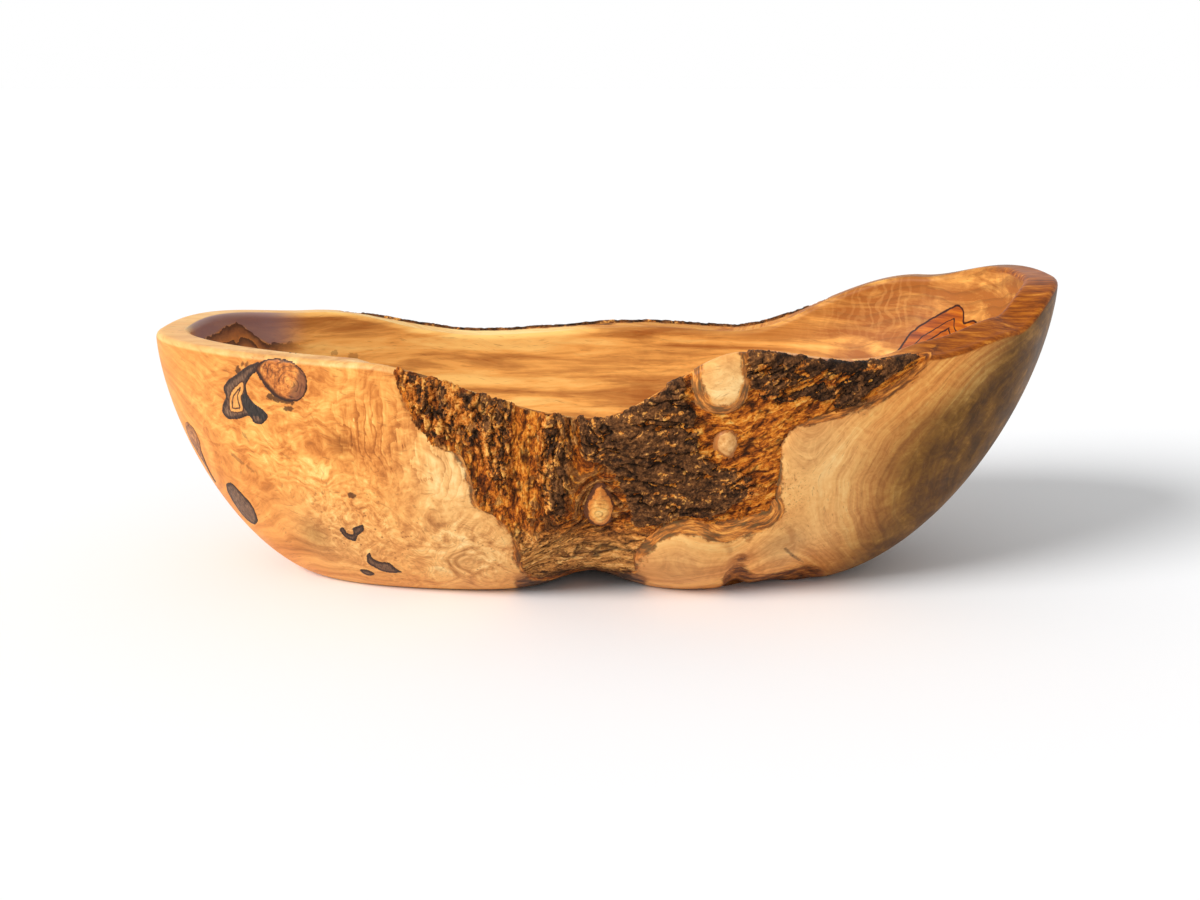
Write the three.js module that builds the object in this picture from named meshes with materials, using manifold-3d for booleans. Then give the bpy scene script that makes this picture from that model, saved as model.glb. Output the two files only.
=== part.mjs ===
// A boat-shaped fruit bowl carved from one olive log. The wood is smoothed, but the log's bark is
// left along both long sides: an orange inner layer let into the wall and dark outer plates on it.
// Knots and bark pockets show as plugs in the smooth wood.
// Millimetres, +Z up. The front looks along -Y, the high end points along +X, and the origin lies
// on the table under the middle of the rim.

import * as THREE from "three";
import { mergeVertices } from "three/addons/utils/BufferGeometryUtils.js";
import Module from "manifold-3d";

const wasm = await Module();
wasm.setup();

// Rim from above: an oval with each corner filled out by its own amount (2 is an ellipse)
const LENGTH = 380;
const FRONT_DEPTH = 87;
const BACK_DEPTH = 85;
const FULL_FRONT_LEFT = 1.85;
const FULL_FRONT_RIGHT = 2.1;
const FULL_BACK_LEFT = 3;
const FULL_BACK_RIGHT = 2.7;
const CORNER_BLEND = 0.7;

// Rim height along each side: place as a share of half the length, then height
const LEFT_TIP_HEIGHT = 103;
const RIGHT_TIP_HEIGHT = 126;
const FRONT_RIM = [
  [-1, LEFT_TIP_HEIGHT], [-0.484, 102.5], [-0.021, 83], [0.274, 108.5], [0.526, 103],
  [0.68, 104.5], [0.86, 110.5], [1, RIGHT_TIP_HEIGHT],
];
const BACK_RIM = [
  [-1, LEFT_TIP_HEIGHT], [-0.737, 99], [-0.305, 88], [0.105, 92], [0.326, 90],
  [0.789, 117], [1, RIGHT_TIP_HEIGHT],
];

// How far the rim's inner edge lies below its outer edge, at the same kind of stations
const FRONT_TILT = [
  [-0.53, 0], [-0.41, 5], [0.2, 5], [0.35, 0], [0.56, 0], [0.7, -4], [0.9, -4], [1, 0],
];
const BACK_TILT = [[-0.66, 0], [-0.45, 2], [0.42, 2], [0.58, 0]];

// Foot: the flat the bowl stands on, a little left of the rim's middle
const FOOT_LENGTH = 225;
const FOOT_DEPTH = 84;
const FOOT_FULLNESS = 3;
const FOOT_SHIFT = -13.5;

// The log's natural waist in the front, and a smaller nick in the foot beside it
const WAIST_X = -6;
const WAIST_SPREAD = 24;
const WAIST_FOOT_RECESS = 14;
const WAIST_RIM_SPREAD = 38;
const WAIST_RIM_RECESS = 5;
const NICK_X = 66;
const NICK_SPREAD = 12;
const NICK_RECESS = 7;
// Swellings on the front wall: middle along and up, reach each way, and how far they stand out
const SWELLINGS = [
  { along: 31, up: 19, wide: 19, tall: 16, out: 3 },
  { along: 69, up: 24, wide: 9, tall: 15, out: 1.5 },
  { along: 44, up: 95, wide: 10, tall: 10, out: 1.6 },
];
const SWELLING_FROM_Y = -20;
const SWELLING_FULL_Y = -40;

// How far round a direction has to turn before the waist and nick start, and where they are whole
const FACING_START = 0.2;
const FACING_FULL = 0.8;

// Wall and hollow
const WALL_FLARE = 1.635;
const RIM_WALL_SIDE = 11;
const RIM_WALL_END = 14;
const RIM_ROUNDING = 2.5;
const FLOOR_THICKNESS = 16;
const HOLLOW_FLOOR_LENGTH = 150;
const HOLLOW_FLOOR_DEPTH = 50;
const HOLLOW_FLARE = 1.6;

// Layers grown on the log, and the hair gap left between neighbouring pieces
const INNER_BARK = 2.5;
const OUTER_BARK = 3.2;
const BARK_BELOW_RIM = 0.5;
const KNOT_DEPTH = 5;
const POCKET_DEPTH = 4;
const SEAM = 0.3;

// Bark outlines as [along, up] on the front or rear side; OVER_RIM runs past the top of the wall
const OVER_RIM = 165;
const FRONT_ZONE = [
  [-82, OVER_RIM], [-79, 95], [-74, 81], [-67, 71], [-57, 67], [-52, 56], [-50, 46], [-41, 38],
  [-35, 26], [-33, 13], [-26, 6.5], [-10, 7], [5, 6], [13, 10], [14, 22], [20, 32], [32, 38],
  [46, 36], [58, 39], [67, 44], [69, 58], [70, 72], [78, 80], [96, 85], [114, 95], [125, 105],
  [129, OVER_RIM], [54, OVER_RIM], [54, 97], [51, 88], [45, 85.5], [38, 88], [34, 96], [32, OVER_RIM],
];
const PLATE_LEFT = [
  [-81, OVER_RIM], [-77, 96], [-72, 84], [-65.5, 75], [-59, 73], [-53, 70.5], [-47, 68], [-44.5, 58],
  [-40, 50], [-36, 49], [-34.5, 62], [-34, 80], [-33, OVER_RIM],
];
const PLATE_MIDDLE = [
  [-24.5, OVER_RIM], [-25, 78], [-26, 58], [-22, 45], [-18.5, 38], [-13.5, 42], [-12, 58], [-12.5, 80],
  [-13, OVER_RIM],
];
const PLATE_CENTRE = [
  [-10, OVER_RIM], [-9.5, 80], [-7.5, 66], [0, 64], [5, 57], [8, 47], [12, 36], [20, 35.5],
  [33, 40.5], [46, 40.5], [52, 47], [63, 49.5], [62, 56], [54, 60.5], [45, 63.5], [38, 71], [35, 84],
  [31, 97], [29, OVER_RIM],
];
const PLATE_RIGHT = [
  [57, OVER_RIM], [56.5, 97], [59, 92.5], [66, 90], [76, 92], [86, 89.5], [95, 88], [104, 94.5],
  [115, 101], [121, 106], [124, OVER_RIM],
];
const REAR_ZONE = [
  [-126, OVER_RIM], [-122, 93], [-104, 82], [-80, 66], [-50, 46], [-22, 35], [8, 31], [36, 38], [62, 52],
  [84, 72], [104, 97], [113, OVER_RIM],
];
const PLATE_REAR = [
  [-120, OVER_RIM], [-116, 95], [-100, 85], [-76, 69], [-47, 50], [-20, 39], [8, 35.5], [34, 42], [58, 56],
  [79, 76], [98, 98], [107, OVER_RIM],
];

// Fineness of the faceting
const AROUND = 84;
const WALL_STEPS = 13;
const HOLLOW_STEPS = 10;
const OUTLINE_STEPS = 3;
const OVAL_STEPS = 18;

// Room that cutting shapes keep beyond the bowl
const CUTTER_REACH = 200;
const CUTTER_TOP = 60;
const CUTTER_BELOW = 12;
const PLUG_REACH = 14;
const SLOPE_STEP = 1e-4;
const CLIMB_FROM = 0.02;
const CLIMB_TO = 0.999;

// Plugs: where each sits on the skin (degrees round the rim from the right tip, share of the climb
// from foot to rim), and its outline as width, height and lean, or as points
const TEARDROP = [
  [0, 11], [3.2, 3.5], [5, -3], [3.6, -8], [0, -9.5], [-3.6, -8], [-5, -3], [-3.2, 3.5],
];
const POCKET_LOOP = [
  [8, 12], [3.5, 9.5], [-7, 3.5], [-10.5, -4.5], [-7, -9.5], [1, -11.5], [8, -8.5],
];
const POCKET_LOOP_WIDTH = 4.5;
const POCKET_LOOP_TIP = 0.35;
const PLUGS = [
  { name: "knot_round", angle: 227.8, climb: 0.908, depth: KNOT_DEPTH, outline: oval(20, 18, 0) },
  { name: "knot_side", angle: 198.2, climb: 0.69, depth: KNOT_DEPTH, outline: oval(12, 15, 0) },
  { name: "knot_teardrop", angle: 270.1, climb: 0.652, depth: KNOT_DEPTH, outline: spline(TEARDROP) },
  { name: "knot_bud", angle: 284.6, climb: 0.754, depth: KNOT_DEPTH, outline: oval(9, 11, 0) },
  { name: "bark_pocket_loop", angle: 219.3, climb: 0.858, depth: POCKET_DEPTH,
    outline: ribbon(POCKET_LOOP, POCKET_LOOP_WIDTH) },
  { name: "bark_pocket_oval", angle: 207.9, climb: 0.501, depth: POCKET_DEPTH, outline: oval(14, 22, 0) },
  { name: "bark_pocket_upper", angle: 234.1, climb: 0.455, depth: POCKET_DEPTH, outline: oval(11, 8, 35) },
  { name: "bark_pocket_lower", angle: 238.7, climb: 0.328, depth: POCKET_DEPTH, outline: oval(15, 6, -24) },
  { name: "bark_pocket_small", angle: 235, climb: 0.256, depth: POCKET_DEPTH, outline: oval(5, 3, -20) },
];

const COLOURS = {
  wood: 0xbd874f,
  innerBark: 0xa05a26,
  outerBark: 0x3d2b21,
  knot: 0x8c5a31,
  pocket: 0x3a2417,
};

// Smooth step from 0 to 1 as value goes from start to end
function smooth(start, end, value) {
  const t = Math.min(Math.max((value - start) / (end - start), 0), 1);
  return t * t * (3 - 2 * t);
}

function bell(offset, spread) {
  return Math.exp(-((offset / spread) ** 2));
}

function signedPower(value, power) {
  return Math.sign(value) * Math.abs(value) ** power;
}

// Height on a run of [place, height] stations, eased so each station is level
function easedHeight(stations, place) {
  let height = stations[0][1];
  for (let i = 1; i < stations.length; i += 1) {
    const [from, low] = stations[i - 1];
    const [to, high] = stations[i];
    if (place > from) {
      height = low + (high - low) * smooth(from, to, place);
    }
  }
  return height;
}

// How far a direction turns to the front: 0 at the sides and back, 1 on the front face
function facing(angle) {
  return smooth(FACING_START, FACING_FULL, -Math.sin(angle));
}

function rimOutline(angle) {
  const isFront = Math.sin(angle) < 0;
  const toRight = smooth(-CORNER_BLEND, CORNER_BLEND, Math.cos(angle));
  const left = isFront ? FULL_FRONT_LEFT : FULL_BACK_LEFT;
  const right = isFront ? FULL_FRONT_RIGHT : FULL_BACK_RIGHT;
  const power = 2 / (left + (right - left) * toRight);
  const x = (LENGTH / 2) * signedPower(Math.cos(angle), power);
  const y = (isFront ? FRONT_DEPTH : BACK_DEPTH) * signedPower(Math.sin(angle), power);
  const recess = WAIST_RIM_RECESS * bell(x - WAIST_X, WAIST_RIM_SPREAD) * facing(angle);
  return new THREE.Vector2(x, y + recess);
}

function rimHeight(angle) {
  const stations = Math.sin(angle) < 0 ? FRONT_RIM : BACK_RIM;
  return easedHeight(stations, rimOutline(angle).x / (LENGTH / 2));
}

// Height of the rim's inner edge
function innerRimHeight(angle) {
  const stations = Math.sin(angle) < 0 ? FRONT_TILT : BACK_TILT;
  return rimHeight(angle) - easedHeight(stations, rimOutline(angle).x / (LENGTH / 2));
}

function footOval(angle, length, depth) {
  const power = 2 / FOOT_FULLNESS;
  const x = FOOT_SHIFT + (length / 2) * signedPower(Math.cos(angle), power);
  return new THREE.Vector2(x, (depth / 2) * signedPower(Math.sin(angle), power));
}

function footOutline(angle) {
  const foot = footOval(angle, FOOT_LENGTH, FOOT_DEPTH);
  const waist = WAIST_FOOT_RECESS * bell(foot.x - WAIST_X, WAIST_SPREAD);
  const nick = NICK_RECESS * bell(foot.x - NICK_X, NICK_SPREAD);
  foot.y += facing(angle) * (waist + nick);
  return foot;
}

// Rim outline moved in towards the hollow
function rimInset(angle, inset) {
  const ahead = rimOutline(angle + SLOPE_STEP);
  const along = ahead.sub(rimOutline(angle - SLOPE_STEP)).normalize();
  return rimOutline(angle).add(new THREE.Vector2(-along.y, along.x).multiplyScalar(inset));
}

function rimWall(angle) {
  return RIM_WALL_SIDE + (RIM_WALL_END - RIM_WALL_SIDE) * Math.cos(angle) ** 4;
}

// A wall that leaves the low outline level and meets the high outline upright
function flaredPoint(low, high, bottom, top, flare, climb) {
  const turn = (Math.min(climb, 1) * Math.PI) / 2;
  const out = Math.sin(turn) ** (2 / flare);
  const up = 1 - Math.cos(turn) ** (2 / flare);
  const plan = low.clone().lerp(high, out);
  return new THREE.Vector3(plan.x, plan.y, bottom + (top - bottom) * up);
}

// How far a point of the front wall is pushed out by the swellings round it
function swelling(point) {
  const onFront = smooth(SWELLING_FROM_Y, SWELLING_FULL_Y, point.y);
  return SWELLINGS.reduce((total, { along, up, wide, tall, out }) => {
    const away = ((point.x - along) / wide) ** 2 + ((point.z - up) / tall) ** 2;
    return total + onFront * out * bell(away, 1);
  }, 0);
}

// Outer skin, from the foot (climb 0) to where the rim starts to round over (climb 1)
function skinPoint(angle, climb) {
  const top = rimHeight(angle) - RIM_ROUNDING;
  const point = flaredPoint(footOutline(angle), rimOutline(angle), 0, top, WALL_FLARE, climb);
  point.y -= swelling(point);
  return point;
}

function skinNormal(angle, climb) {
  const at = Math.min(Math.max(climb, CLIMB_FROM), CLIMB_TO);
  const along = skinPoint(angle + SLOPE_STEP, at).sub(skinPoint(angle - SLOPE_STEP, at));
  const rising = skinPoint(angle, at + SLOPE_STEP).sub(skinPoint(angle, at - SLOPE_STEP));
  return along.cross(rising).normalize();
}

function hollowPoint(angle, climb) {
  const floor = footOval(angle, HOLLOW_FLOOR_LENGTH, HOLLOW_FLOOR_DEPTH);
  const top = innerRimHeight(angle) - RIM_ROUNDING;
  const edge = rimInset(angle, rimWall(angle));
  return flaredPoint(floor, edge, FLOOR_THICKNESS, top, HOLLOW_FLARE, climb);
}

// One ring of points round the bowl
function ring(pointAt) {
  return Array.from({ length: AROUND }, (_, i) => pointAt((i * 2 * Math.PI) / AROUND));
}

function steps(count) {
  return Array.from({ length: count + 1 }, (_, i) => i / count);
}

function toSolid(positions, triangles) {
  const mesh = new wasm.Mesh({
    numProp: 3,
    vertProperties: Float32Array.from(positions),
    triVerts: Uint32Array.from(triangles),
  });
  return new wasm.Manifold(mesh);
}

// Rings joined into one closed solid, with a middle point closing each end
function solidFromRings(rings) {
  const middles = [rings[0], rings[rings.length - 1]].map((points) => {
    const sum = points.reduce((total, point) => total.add(point), new THREE.Vector3());
    return sum.divideScalar(points.length);
  });
  const points = [...rings.flat(), ...middles];
  const last = (rings.length - 1) * AROUND;
  const bottom = rings.length * AROUND;
  const top = bottom + 1;
  const triangles = [];
  for (let i = 0; i < AROUND; i += 1) {
    const next = (i + 1) % AROUND;
    for (let row = 0; row < last; row += AROUND) {
      const above = row + AROUND;
      triangles.push(row + i, row + next, above + next, row + i, above + next, above + i);
    }
    triangles.push(bottom, next, i, top, last + i, last + next);
  }
  return toSolid(points.flatMap((point) => point.toArray()), triangles);
}

// Rim between skin and hollow: rounded over at both edges, straight between them
function rimRings() {
  const round = RIM_ROUNDING * (1 - Math.SQRT1_2);
  const at = (insetAt, heightAt, drop) => ring((angle) => {
    const plan = rimInset(angle, insetAt(rimWall(angle)));
    return new THREE.Vector3(plan.x, plan.y, heightAt(angle) - drop);
  });
  return [
    at(() => round, rimHeight, round),
    at(() => RIM_ROUNDING, rimHeight, 0),
    at((wall) => wall - RIM_ROUNDING, innerRimHeight, 0),
    at((wall) => wall - round, innerRimHeight, round),
  ];
}

function bowlSolid() {
  const outside = steps(WALL_STEPS).map((climb) => ring((angle) => skinPoint(angle, climb)));
  const inside = steps(HOLLOW_STEPS).reverse().map((climb) => ring((angle) => hollowPoint(angle, climb)));
  return solidFromRings([...outside, ...rimRings(), ...inside]);
}

// Everything inside the skin moved out by proud (or in, when negative), carried on up past the rim
function skinSolid(proud, overRim) {
  const moved = (climb) => ring((angle) => {
    return skinPoint(angle, climb).addScaledVector(skinNormal(angle, climb), proud);
  });
  const rings = steps(WALL_STEPS).map(moved);
  const below = rings[0].map((point) => new THREE.Vector3(point.x, point.y, -CUTTER_BELOW));
  const above = rings[WALL_STEPS].map((point) => new THREE.Vector3(point.x, point.y, point.z + overRim));
  return solidFromRings([below, ...rings, above]);
}

// Closed smooth outline through hand-placed points
function spline(points) {
  const corners = points.map(([x, y]) => new THREE.Vector3(x, y, 0));
  const curve = new THREE.CatmullRomCurve3(corners, true, "centripetal");
  const spread = curve.getPoints(points.length * OUTLINE_STEPS).slice(0, -1);
  return counterClockwise(spread.map((point) => new THREE.Vector2(point.x, point.y)));
}

function oval(width, height, lean) {
  const turn = THREE.MathUtils.degToRad(lean);
  const curve = new THREE.EllipseCurve(0, 0, width / 2, height / 2, 0, 2 * Math.PI, false, turn);
  return counterClockwise(curve.getPoints(OVAL_STEPS).slice(0, -1));
}

// Band along an open path, thinning to its two ends
function ribbon(points, width) {
  const path = new THREE.SplineCurve(points.map(([x, y]) => new THREE.Vector2(x, y)));
  const shares = steps(points.length * OUTLINE_STEPS);
  const side = (sign) => shares.map((share) => {
    const along = path.getTangent(share);
    const swell = POCKET_LOOP_TIP + (1 - POCKET_LOOP_TIP) * Math.sin(share * Math.PI);
    const across = new THREE.Vector2(-along.y, along.x).multiplyScalar((sign * swell * width) / 2);
    return path.getPoint(share).add(across);
  });
  return counterClockwise([...side(1), ...side(-1).reverse()]);
}

function counterClockwise(outline) {
  return THREE.ShapeUtils.isClockWise(outline) ? outline.reverse() : outline;
}

// Outline moved outwards all round
function grown(outline, by) {
  return outline.map((point, i) => {
    const before = outline[(i + outline.length - 1) % outline.length];
    const after = outline[(i + 1) % outline.length];
    const along = after.clone().sub(before).normalize();
    return point.clone().add(new THREE.Vector2(along.y, -along.x).multiplyScalar(by));
  });
}

function extruded(outline, depth) {
  const options = { depth, bevelEnabled: false };
  const sheet = new THREE.ExtrudeGeometry(new THREE.Shape(outline), options);
  sheet.deleteAttribute("normal");
  sheet.deleteAttribute("uv");
  return mergeVertices(sheet);
}

function solidFromGeometry(geometry) {
  return toSolid(geometry.attributes.position.array, geometry.index.array);
}

// Outline carried level through the front half of the bowl, or through the rear half
function frontPrism(outline) {
  return solidFromGeometry(extruded(outline, CUTTER_REACH).rotateX(Math.PI / 2));
}

function rearPrism(outline) {
  const prism = extruded(outline, CUTTER_REACH).rotateX(Math.PI / 2);
  return solidFromGeometry(prism.translate(0, CUTTER_REACH, 0));
}

// Outline carried straight through the skin at one spot
function plugPrism(plug, outline) {
  const angle = THREE.MathUtils.degToRad(plug.angle);
  const outward = skinNormal(angle, plug.climb);
  const across = new THREE.Vector3(0, 0, 1).cross(outward).normalize();
  const upslope = outward.clone().cross(across);
  const place = new THREE.Matrix4().makeBasis(across, upslope, outward);
  place.setPosition(skinPoint(angle, plug.climb));
  const prism = extruded(outline, 2 * PLUG_REACH).translate(0, 0, -PLUG_REACH);
  return solidFromGeometry(prism.applyMatrix4(place));
}

function toMesh(name, solid, colour, roughness) {
  const { vertProperties, triVerts } = solid.getMesh();
  const geometry = new THREE.BufferGeometry();
  geometry.setAttribute("position", new THREE.BufferAttribute(vertProperties, 3));
  geometry.setIndex(new THREE.BufferAttribute(triVerts, 1));
  geometry.computeVertexNormals();
  const material = new THREE.MeshStandardMaterial({ color: colour, roughness, metalness: 0 });
  const mesh = new THREE.Mesh(geometry, material);
  mesh.name = name;
  return mesh;
}

const whole = bowlSolid();

// The skin's outer layer inside a prism, and the pocket in the wood that it fills
function inlay(prism, depth) {
  return whole.intersect(prism).subtract(skinSolid(-depth, CUTTER_TOP));
}

function inlayPocket(prism, depth) {
  return prism.subtract(skinSolid(-(depth + SEAM), CUTTER_TOP));
}

// A plate of outer bark standing on the skin, ending just under the top of the rim
function barkPlate(prism) {
  const shell = skinSolid(SEAM + OUTER_BARK, RIM_ROUNDING - BARK_BELOW_RIM);
  return shell.intersect(prism).subtract(skinSolid(SEAM, CUTTER_TOP));
}

function barkLayer(prismOf, points) {
  const outline = spline(points);
  return {
    layer: inlay(prismOf(outline), INNER_BARK),
    pocket: inlayPocket(prismOf(grown(outline, SEAM)), INNER_BARK),
  };
}

const frontBark = barkLayer(frontPrism, FRONT_ZONE);
const rearBark = barkLayer(rearPrism, REAR_ZONE);
let body = whole.subtract(frontBark.pocket).subtract(rearBark.pocket);
let frontLayer = frontBark.layer;
const plugMeshes = [];
for (const plug of PLUGS) {
  const clearance = plugPrism(plug, grown(plug.outline, SEAM));
  const solid = inlay(plugPrism(plug, plug.outline), plug.depth);
  body = body.subtract(inlayPocket(clearance, plug.depth));
  frontLayer = frontLayer.subtract(clearance);
  const colour = plug.name.startsWith("knot") ? COLOURS.knot : COLOURS.pocket;
  plugMeshes.push(toMesh(plug.name, solid, colour, 0.6));
}

const bowl = new THREE.Group();
bowl.name = "fruit_bowl";
bowl.add(
  toMesh("bowl_body", body, COLOURS.wood, 0.45),
  toMesh("inner_bark_front", frontLayer, COLOURS.innerBark, 0.85),
  toMesh("inner_bark_rear", rearBark.layer, COLOURS.innerBark, 0.85),
  toMesh("bark_plate_left", barkPlate(frontPrism(spline(PLATE_LEFT))), COLOURS.outerBark, 0.95),
  toMesh("bark_plate_middle", barkPlate(frontPrism(spline(PLATE_MIDDLE))), COLOURS.outerBark, 0.95),
  toMesh("bark_plate_centre", barkPlate(frontPrism(spline(PLATE_CENTRE))), COLOURS.outerBark, 0.95),
  toMesh("bark_plate_right", barkPlate(frontPrism(spline(PLATE_RIGHT))), COLOURS.outerBark, 0.95),
  toMesh("bark_plate_rear", barkPlate(rearPrism(spline(PLATE_REAR))), COLOURS.outerBark, 0.95),
  ...plugMeshes,
);

export default bowl;
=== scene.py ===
"""Olive-wood fruit bowl with a bark edge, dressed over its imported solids.

Sizes are in millimetres until a mesh is made; the front looks along -Y and the high end along +X.
"""

import math

import bpy
import numpy as np
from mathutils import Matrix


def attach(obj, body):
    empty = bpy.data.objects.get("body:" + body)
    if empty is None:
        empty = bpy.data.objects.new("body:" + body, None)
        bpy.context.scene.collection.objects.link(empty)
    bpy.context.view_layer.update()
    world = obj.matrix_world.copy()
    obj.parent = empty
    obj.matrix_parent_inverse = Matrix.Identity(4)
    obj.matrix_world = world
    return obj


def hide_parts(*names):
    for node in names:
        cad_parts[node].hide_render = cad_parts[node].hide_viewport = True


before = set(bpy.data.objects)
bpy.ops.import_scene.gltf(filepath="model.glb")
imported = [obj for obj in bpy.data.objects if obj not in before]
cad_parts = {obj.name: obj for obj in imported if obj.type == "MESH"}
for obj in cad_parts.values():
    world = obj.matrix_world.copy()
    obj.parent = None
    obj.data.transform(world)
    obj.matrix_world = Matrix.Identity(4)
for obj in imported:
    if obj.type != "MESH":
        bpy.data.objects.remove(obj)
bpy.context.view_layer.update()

MM = 0.001

# Rim from above, and the rim's height at stations along half the length
LENGTH, FRONT_DEPTH, BACK_DEPTH = 380.0, 87.0, 85.0
FULL_FRONT_LEFT, FULL_FRONT_RIGHT = 1.85, 2.1
FULL_BACK_LEFT, FULL_BACK_RIGHT = 3.0, 2.7
CORNER_BLEND = 0.7
FRONT_RIM = [(-1, 103), (-0.484, 102.5), (-0.021, 83), (0.274, 108.5), (0.526, 103), (0.68, 104.5),
             (0.86, 110.5), (1, 126)]
BACK_RIM = [(-1, 103), (-0.737, 99), (-0.305, 88), (0.105, 92), (0.326, 90), (0.789, 117), (1, 126)]

# How far the rim's inner edge lies below its outer edge, at the same kind of stations
FRONT_TILT = [(-0.53, 0), (-0.41, 5), (0.2, 5), (0.35, 0), (0.56, 0), (0.7, -4), (0.9, -4), (1, 0)]
BACK_TILT = [(-0.66, 0), (-0.45, 2), (0.42, 2), (0.58, 0)]

# Foot, waist and nick
FOOT_LENGTH, FOOT_DEPTH, FOOT_FULLNESS, FOOT_SHIFT = 225.0, 84.0, 3.0, -13.5
WAIST_X, WAIST_SPREAD, WAIST_FOOT_RECESS = -6.0, 24.0, 14.0
WAIST_RIM_SPREAD, WAIST_RIM_RECESS = 38.0, 5.0
NICK_X, NICK_SPREAD, NICK_RECESS = 66.0, 12.0, 7.0
ARCH_RISE, ARCH_SPREAD, ARCH_REACH = 4.5, 15.0, 22.0        # the waist's edge lifts a little off the table

# Wall and hollow
WALL_FLARE, HOLLOW_FLARE = 1.635, 1.6
RIM_WALL_SIDE, RIM_WALL_END, RIM_ROUNDING = 11.0, 14.0, 2.5
FLOOR_THICKNESS, HOLLOW_FLOOR_LENGTH, HOLLOW_FLOOR_DEPTH = 16.0, 150.0, 50.0

# Bark outlines as (along, up); OVER_RIM runs past the top of the wall
OVER_RIM = 165.0
FRONT_ZONE = [
    (-82, OVER_RIM), (-79, 95), (-74, 81), (-67, 71), (-57, 67), (-52, 56), (-50, 46), (-41, 38), (-35, 26),
    (-33, 13), (-26, 6.5), (-10, 7), (5, 6), (13, 10), (14, 22), (20, 32), (32, 38), (46, 36), (58, 39),
    (67, 44), (69, 58), (70, 72), (78, 80), (96, 85), (114, 95), (125, 105), (129, OVER_RIM), (54, OVER_RIM),
    (54, 97), (51, 88), (45, 85.5), (38, 88), (34, 96), (32, OVER_RIM)]
PLATE_LEFT = [
    (-81, OVER_RIM), (-77, 96), (-72, 84), (-65.5, 75), (-59, 73), (-53, 70.5), (-47, 68), (-44.5, 58),
    (-40, 50), (-36, 49), (-34.5, 62), (-34, 80), (-33, OVER_RIM)]
PLATE_MIDDLE = [
    (-24.5, OVER_RIM), (-25, 78), (-26, 58), (-22, 45), (-18.5, 38), (-13.5, 42), (-12, 58), (-12.5, 80),
    (-13, OVER_RIM)]
PLATE_CENTRE = [
    (-10, OVER_RIM), (-9.5, 80), (-7.5, 66), (0, 64), (5, 57), (8, 47), (12, 36), (20, 35.5), (33, 40.5),
    (46, 40.5), (52, 47), (63, 49.5), (62, 56), (54, 60.5), (45, 63.5), (38, 71), (35, 84), (31, 97),
    (29, OVER_RIM)]
PLATE_RIGHT = [
    (57, OVER_RIM), (56.5, 97), (59, 92.5), (66, 90), (76, 92), (86, 89.5), (95, 88), (104, 94.5),
    (115, 101), (121, 106), (124, OVER_RIM)]
REAR_ZONE = [
    (-126, OVER_RIM), (-122, 93), (-104, 82), (-80, 66), (-50, 46), (-22, 35), (8, 31), (36, 38), (62, 52),
    (84, 72), (104, 97), (113, OVER_RIM)]
PLATE_REAR = [
    (-120, OVER_RIM), (-116, 95), (-100, 85), (-76, 69), (-47, 50), (-20, 39), (8, 35.5), (34, 42), (58, 56),
    (79, 76), (98, 98), (107, OVER_RIM)]

# Swellings on the front wall: middle along and up, reach each way, and how far they stand out
SWELLINGS = [(31, 19, 19, 16, 3.0), (69, 24, 9, 15, 1.5), (44, 95, 10, 10, 1.6)]
FRONT_FROM, FRONT_FULL = -20, -40       # across, where the front's own features start and are full

# Knots and ingrown bark, each outline in its own across and upslope millimetres
KNOT_ROUND = [
    (-14.5, 7), (-8, 11), (-0.7, 11.5), (5.5, 10), (9.7, 5.7), (10.2, 1.8), (8.4, -2.3), (4.5, -5.5),
    (0, -6), (-6, -4.6), (-9.8, -1.2), (-13, 3)]
KNOT_SIDE = [
    (-5, 4), (-1, 7.5), (4, 5.5), (6, 0), (4, -6), (3, -14), (3, -22), (1, -22), (0, -14), (-3, -8), (-6, -3)]
KNOT_TEARDROP = [
    (0.1, 11.5), (3.5, 7), (5.8, 1.4), (5.6, -4.3), (3.2, -8.6), (-0.4, -8.6), (-3.8, -4.5), (-4.4, 0.9),
    (-2.4, 7)]
KNOT_BUD = [(-4.7, -0.9), (-3, 3), (0.4, 4), (3.4, 1), (3.4, -3.7), (1.1, -6.8), (-1.6, -6.2), (-4.2, -3.5)]
POCKET_EAR = [
    (10.5, 16), (4.5, 13.8), (-0.4, 10.8), (-8.9, 5), (-10.2, 2.3), (-9.7, -0.9), (-12.4, -4.7),
    (-12.9, -8.1), (-10.6, -10.4), (-5, -10), (1.7, -7.9), (3.3, -10.1), (6.1, -10.9), (8.8, -9.8),
    (11.8, -6.1), (9.5, -3.7), (5.9, -1.6), (3.6, 0.6), (2.6, 3.8), (4.6, 8.2), (8.6, 11.6)]
EAR_BLACK = [
    (-0.1, 1), (1.6, 2), (3.4, 0.1), (8.1, -1.5), (11.3, -5.4), (8.2, -8.6), (6.5, -7.1), (2.5, -7.2),
    (0.4, -4.9), (-0.6, -2)]
EAR_AMBER = [
    (-6.4, 1), (-1.9, 5.3), (1.4, 6.9), (0.7, 2.3), (-0.8, 0), (-0.8, -5.4), (-4.8, -6.8), (-8, -6.4),
    (-7.8, -2.9)]
POCKET_OVAL = [
    (-9, 8), (-3.5, 10), (1.6, 5.2), (5, -1.2), (3.5, -8.5), (-2, -12), (-7, -10), (-10, -2), (-10.5, 3.5)]
POCKET_UPPER = [
    (-5.8, 2), (-4.1, 3.2), (-2.5, 0.4), (-0.3, 0.1), (-0.2, 2.7), (2.9, 4.6), (5.7, 5.4), (5.6, 2.9),
    (2, -1.1), (0, -4), (-3.4, -3.4), (-5.6, -1.1)]
POCKET_LOWER = [
    (-6.9, 3.9), (-4.8, 5.4), (-4.2, 2), (-1.5, 0.6), (2.4, 0.4), (4.3, -2.5), (6.6, -5.5), (1.9, -6.8),
    (-2.7, -6), (-5.6, -3.8), (-7.8, -1.6)]
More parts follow.
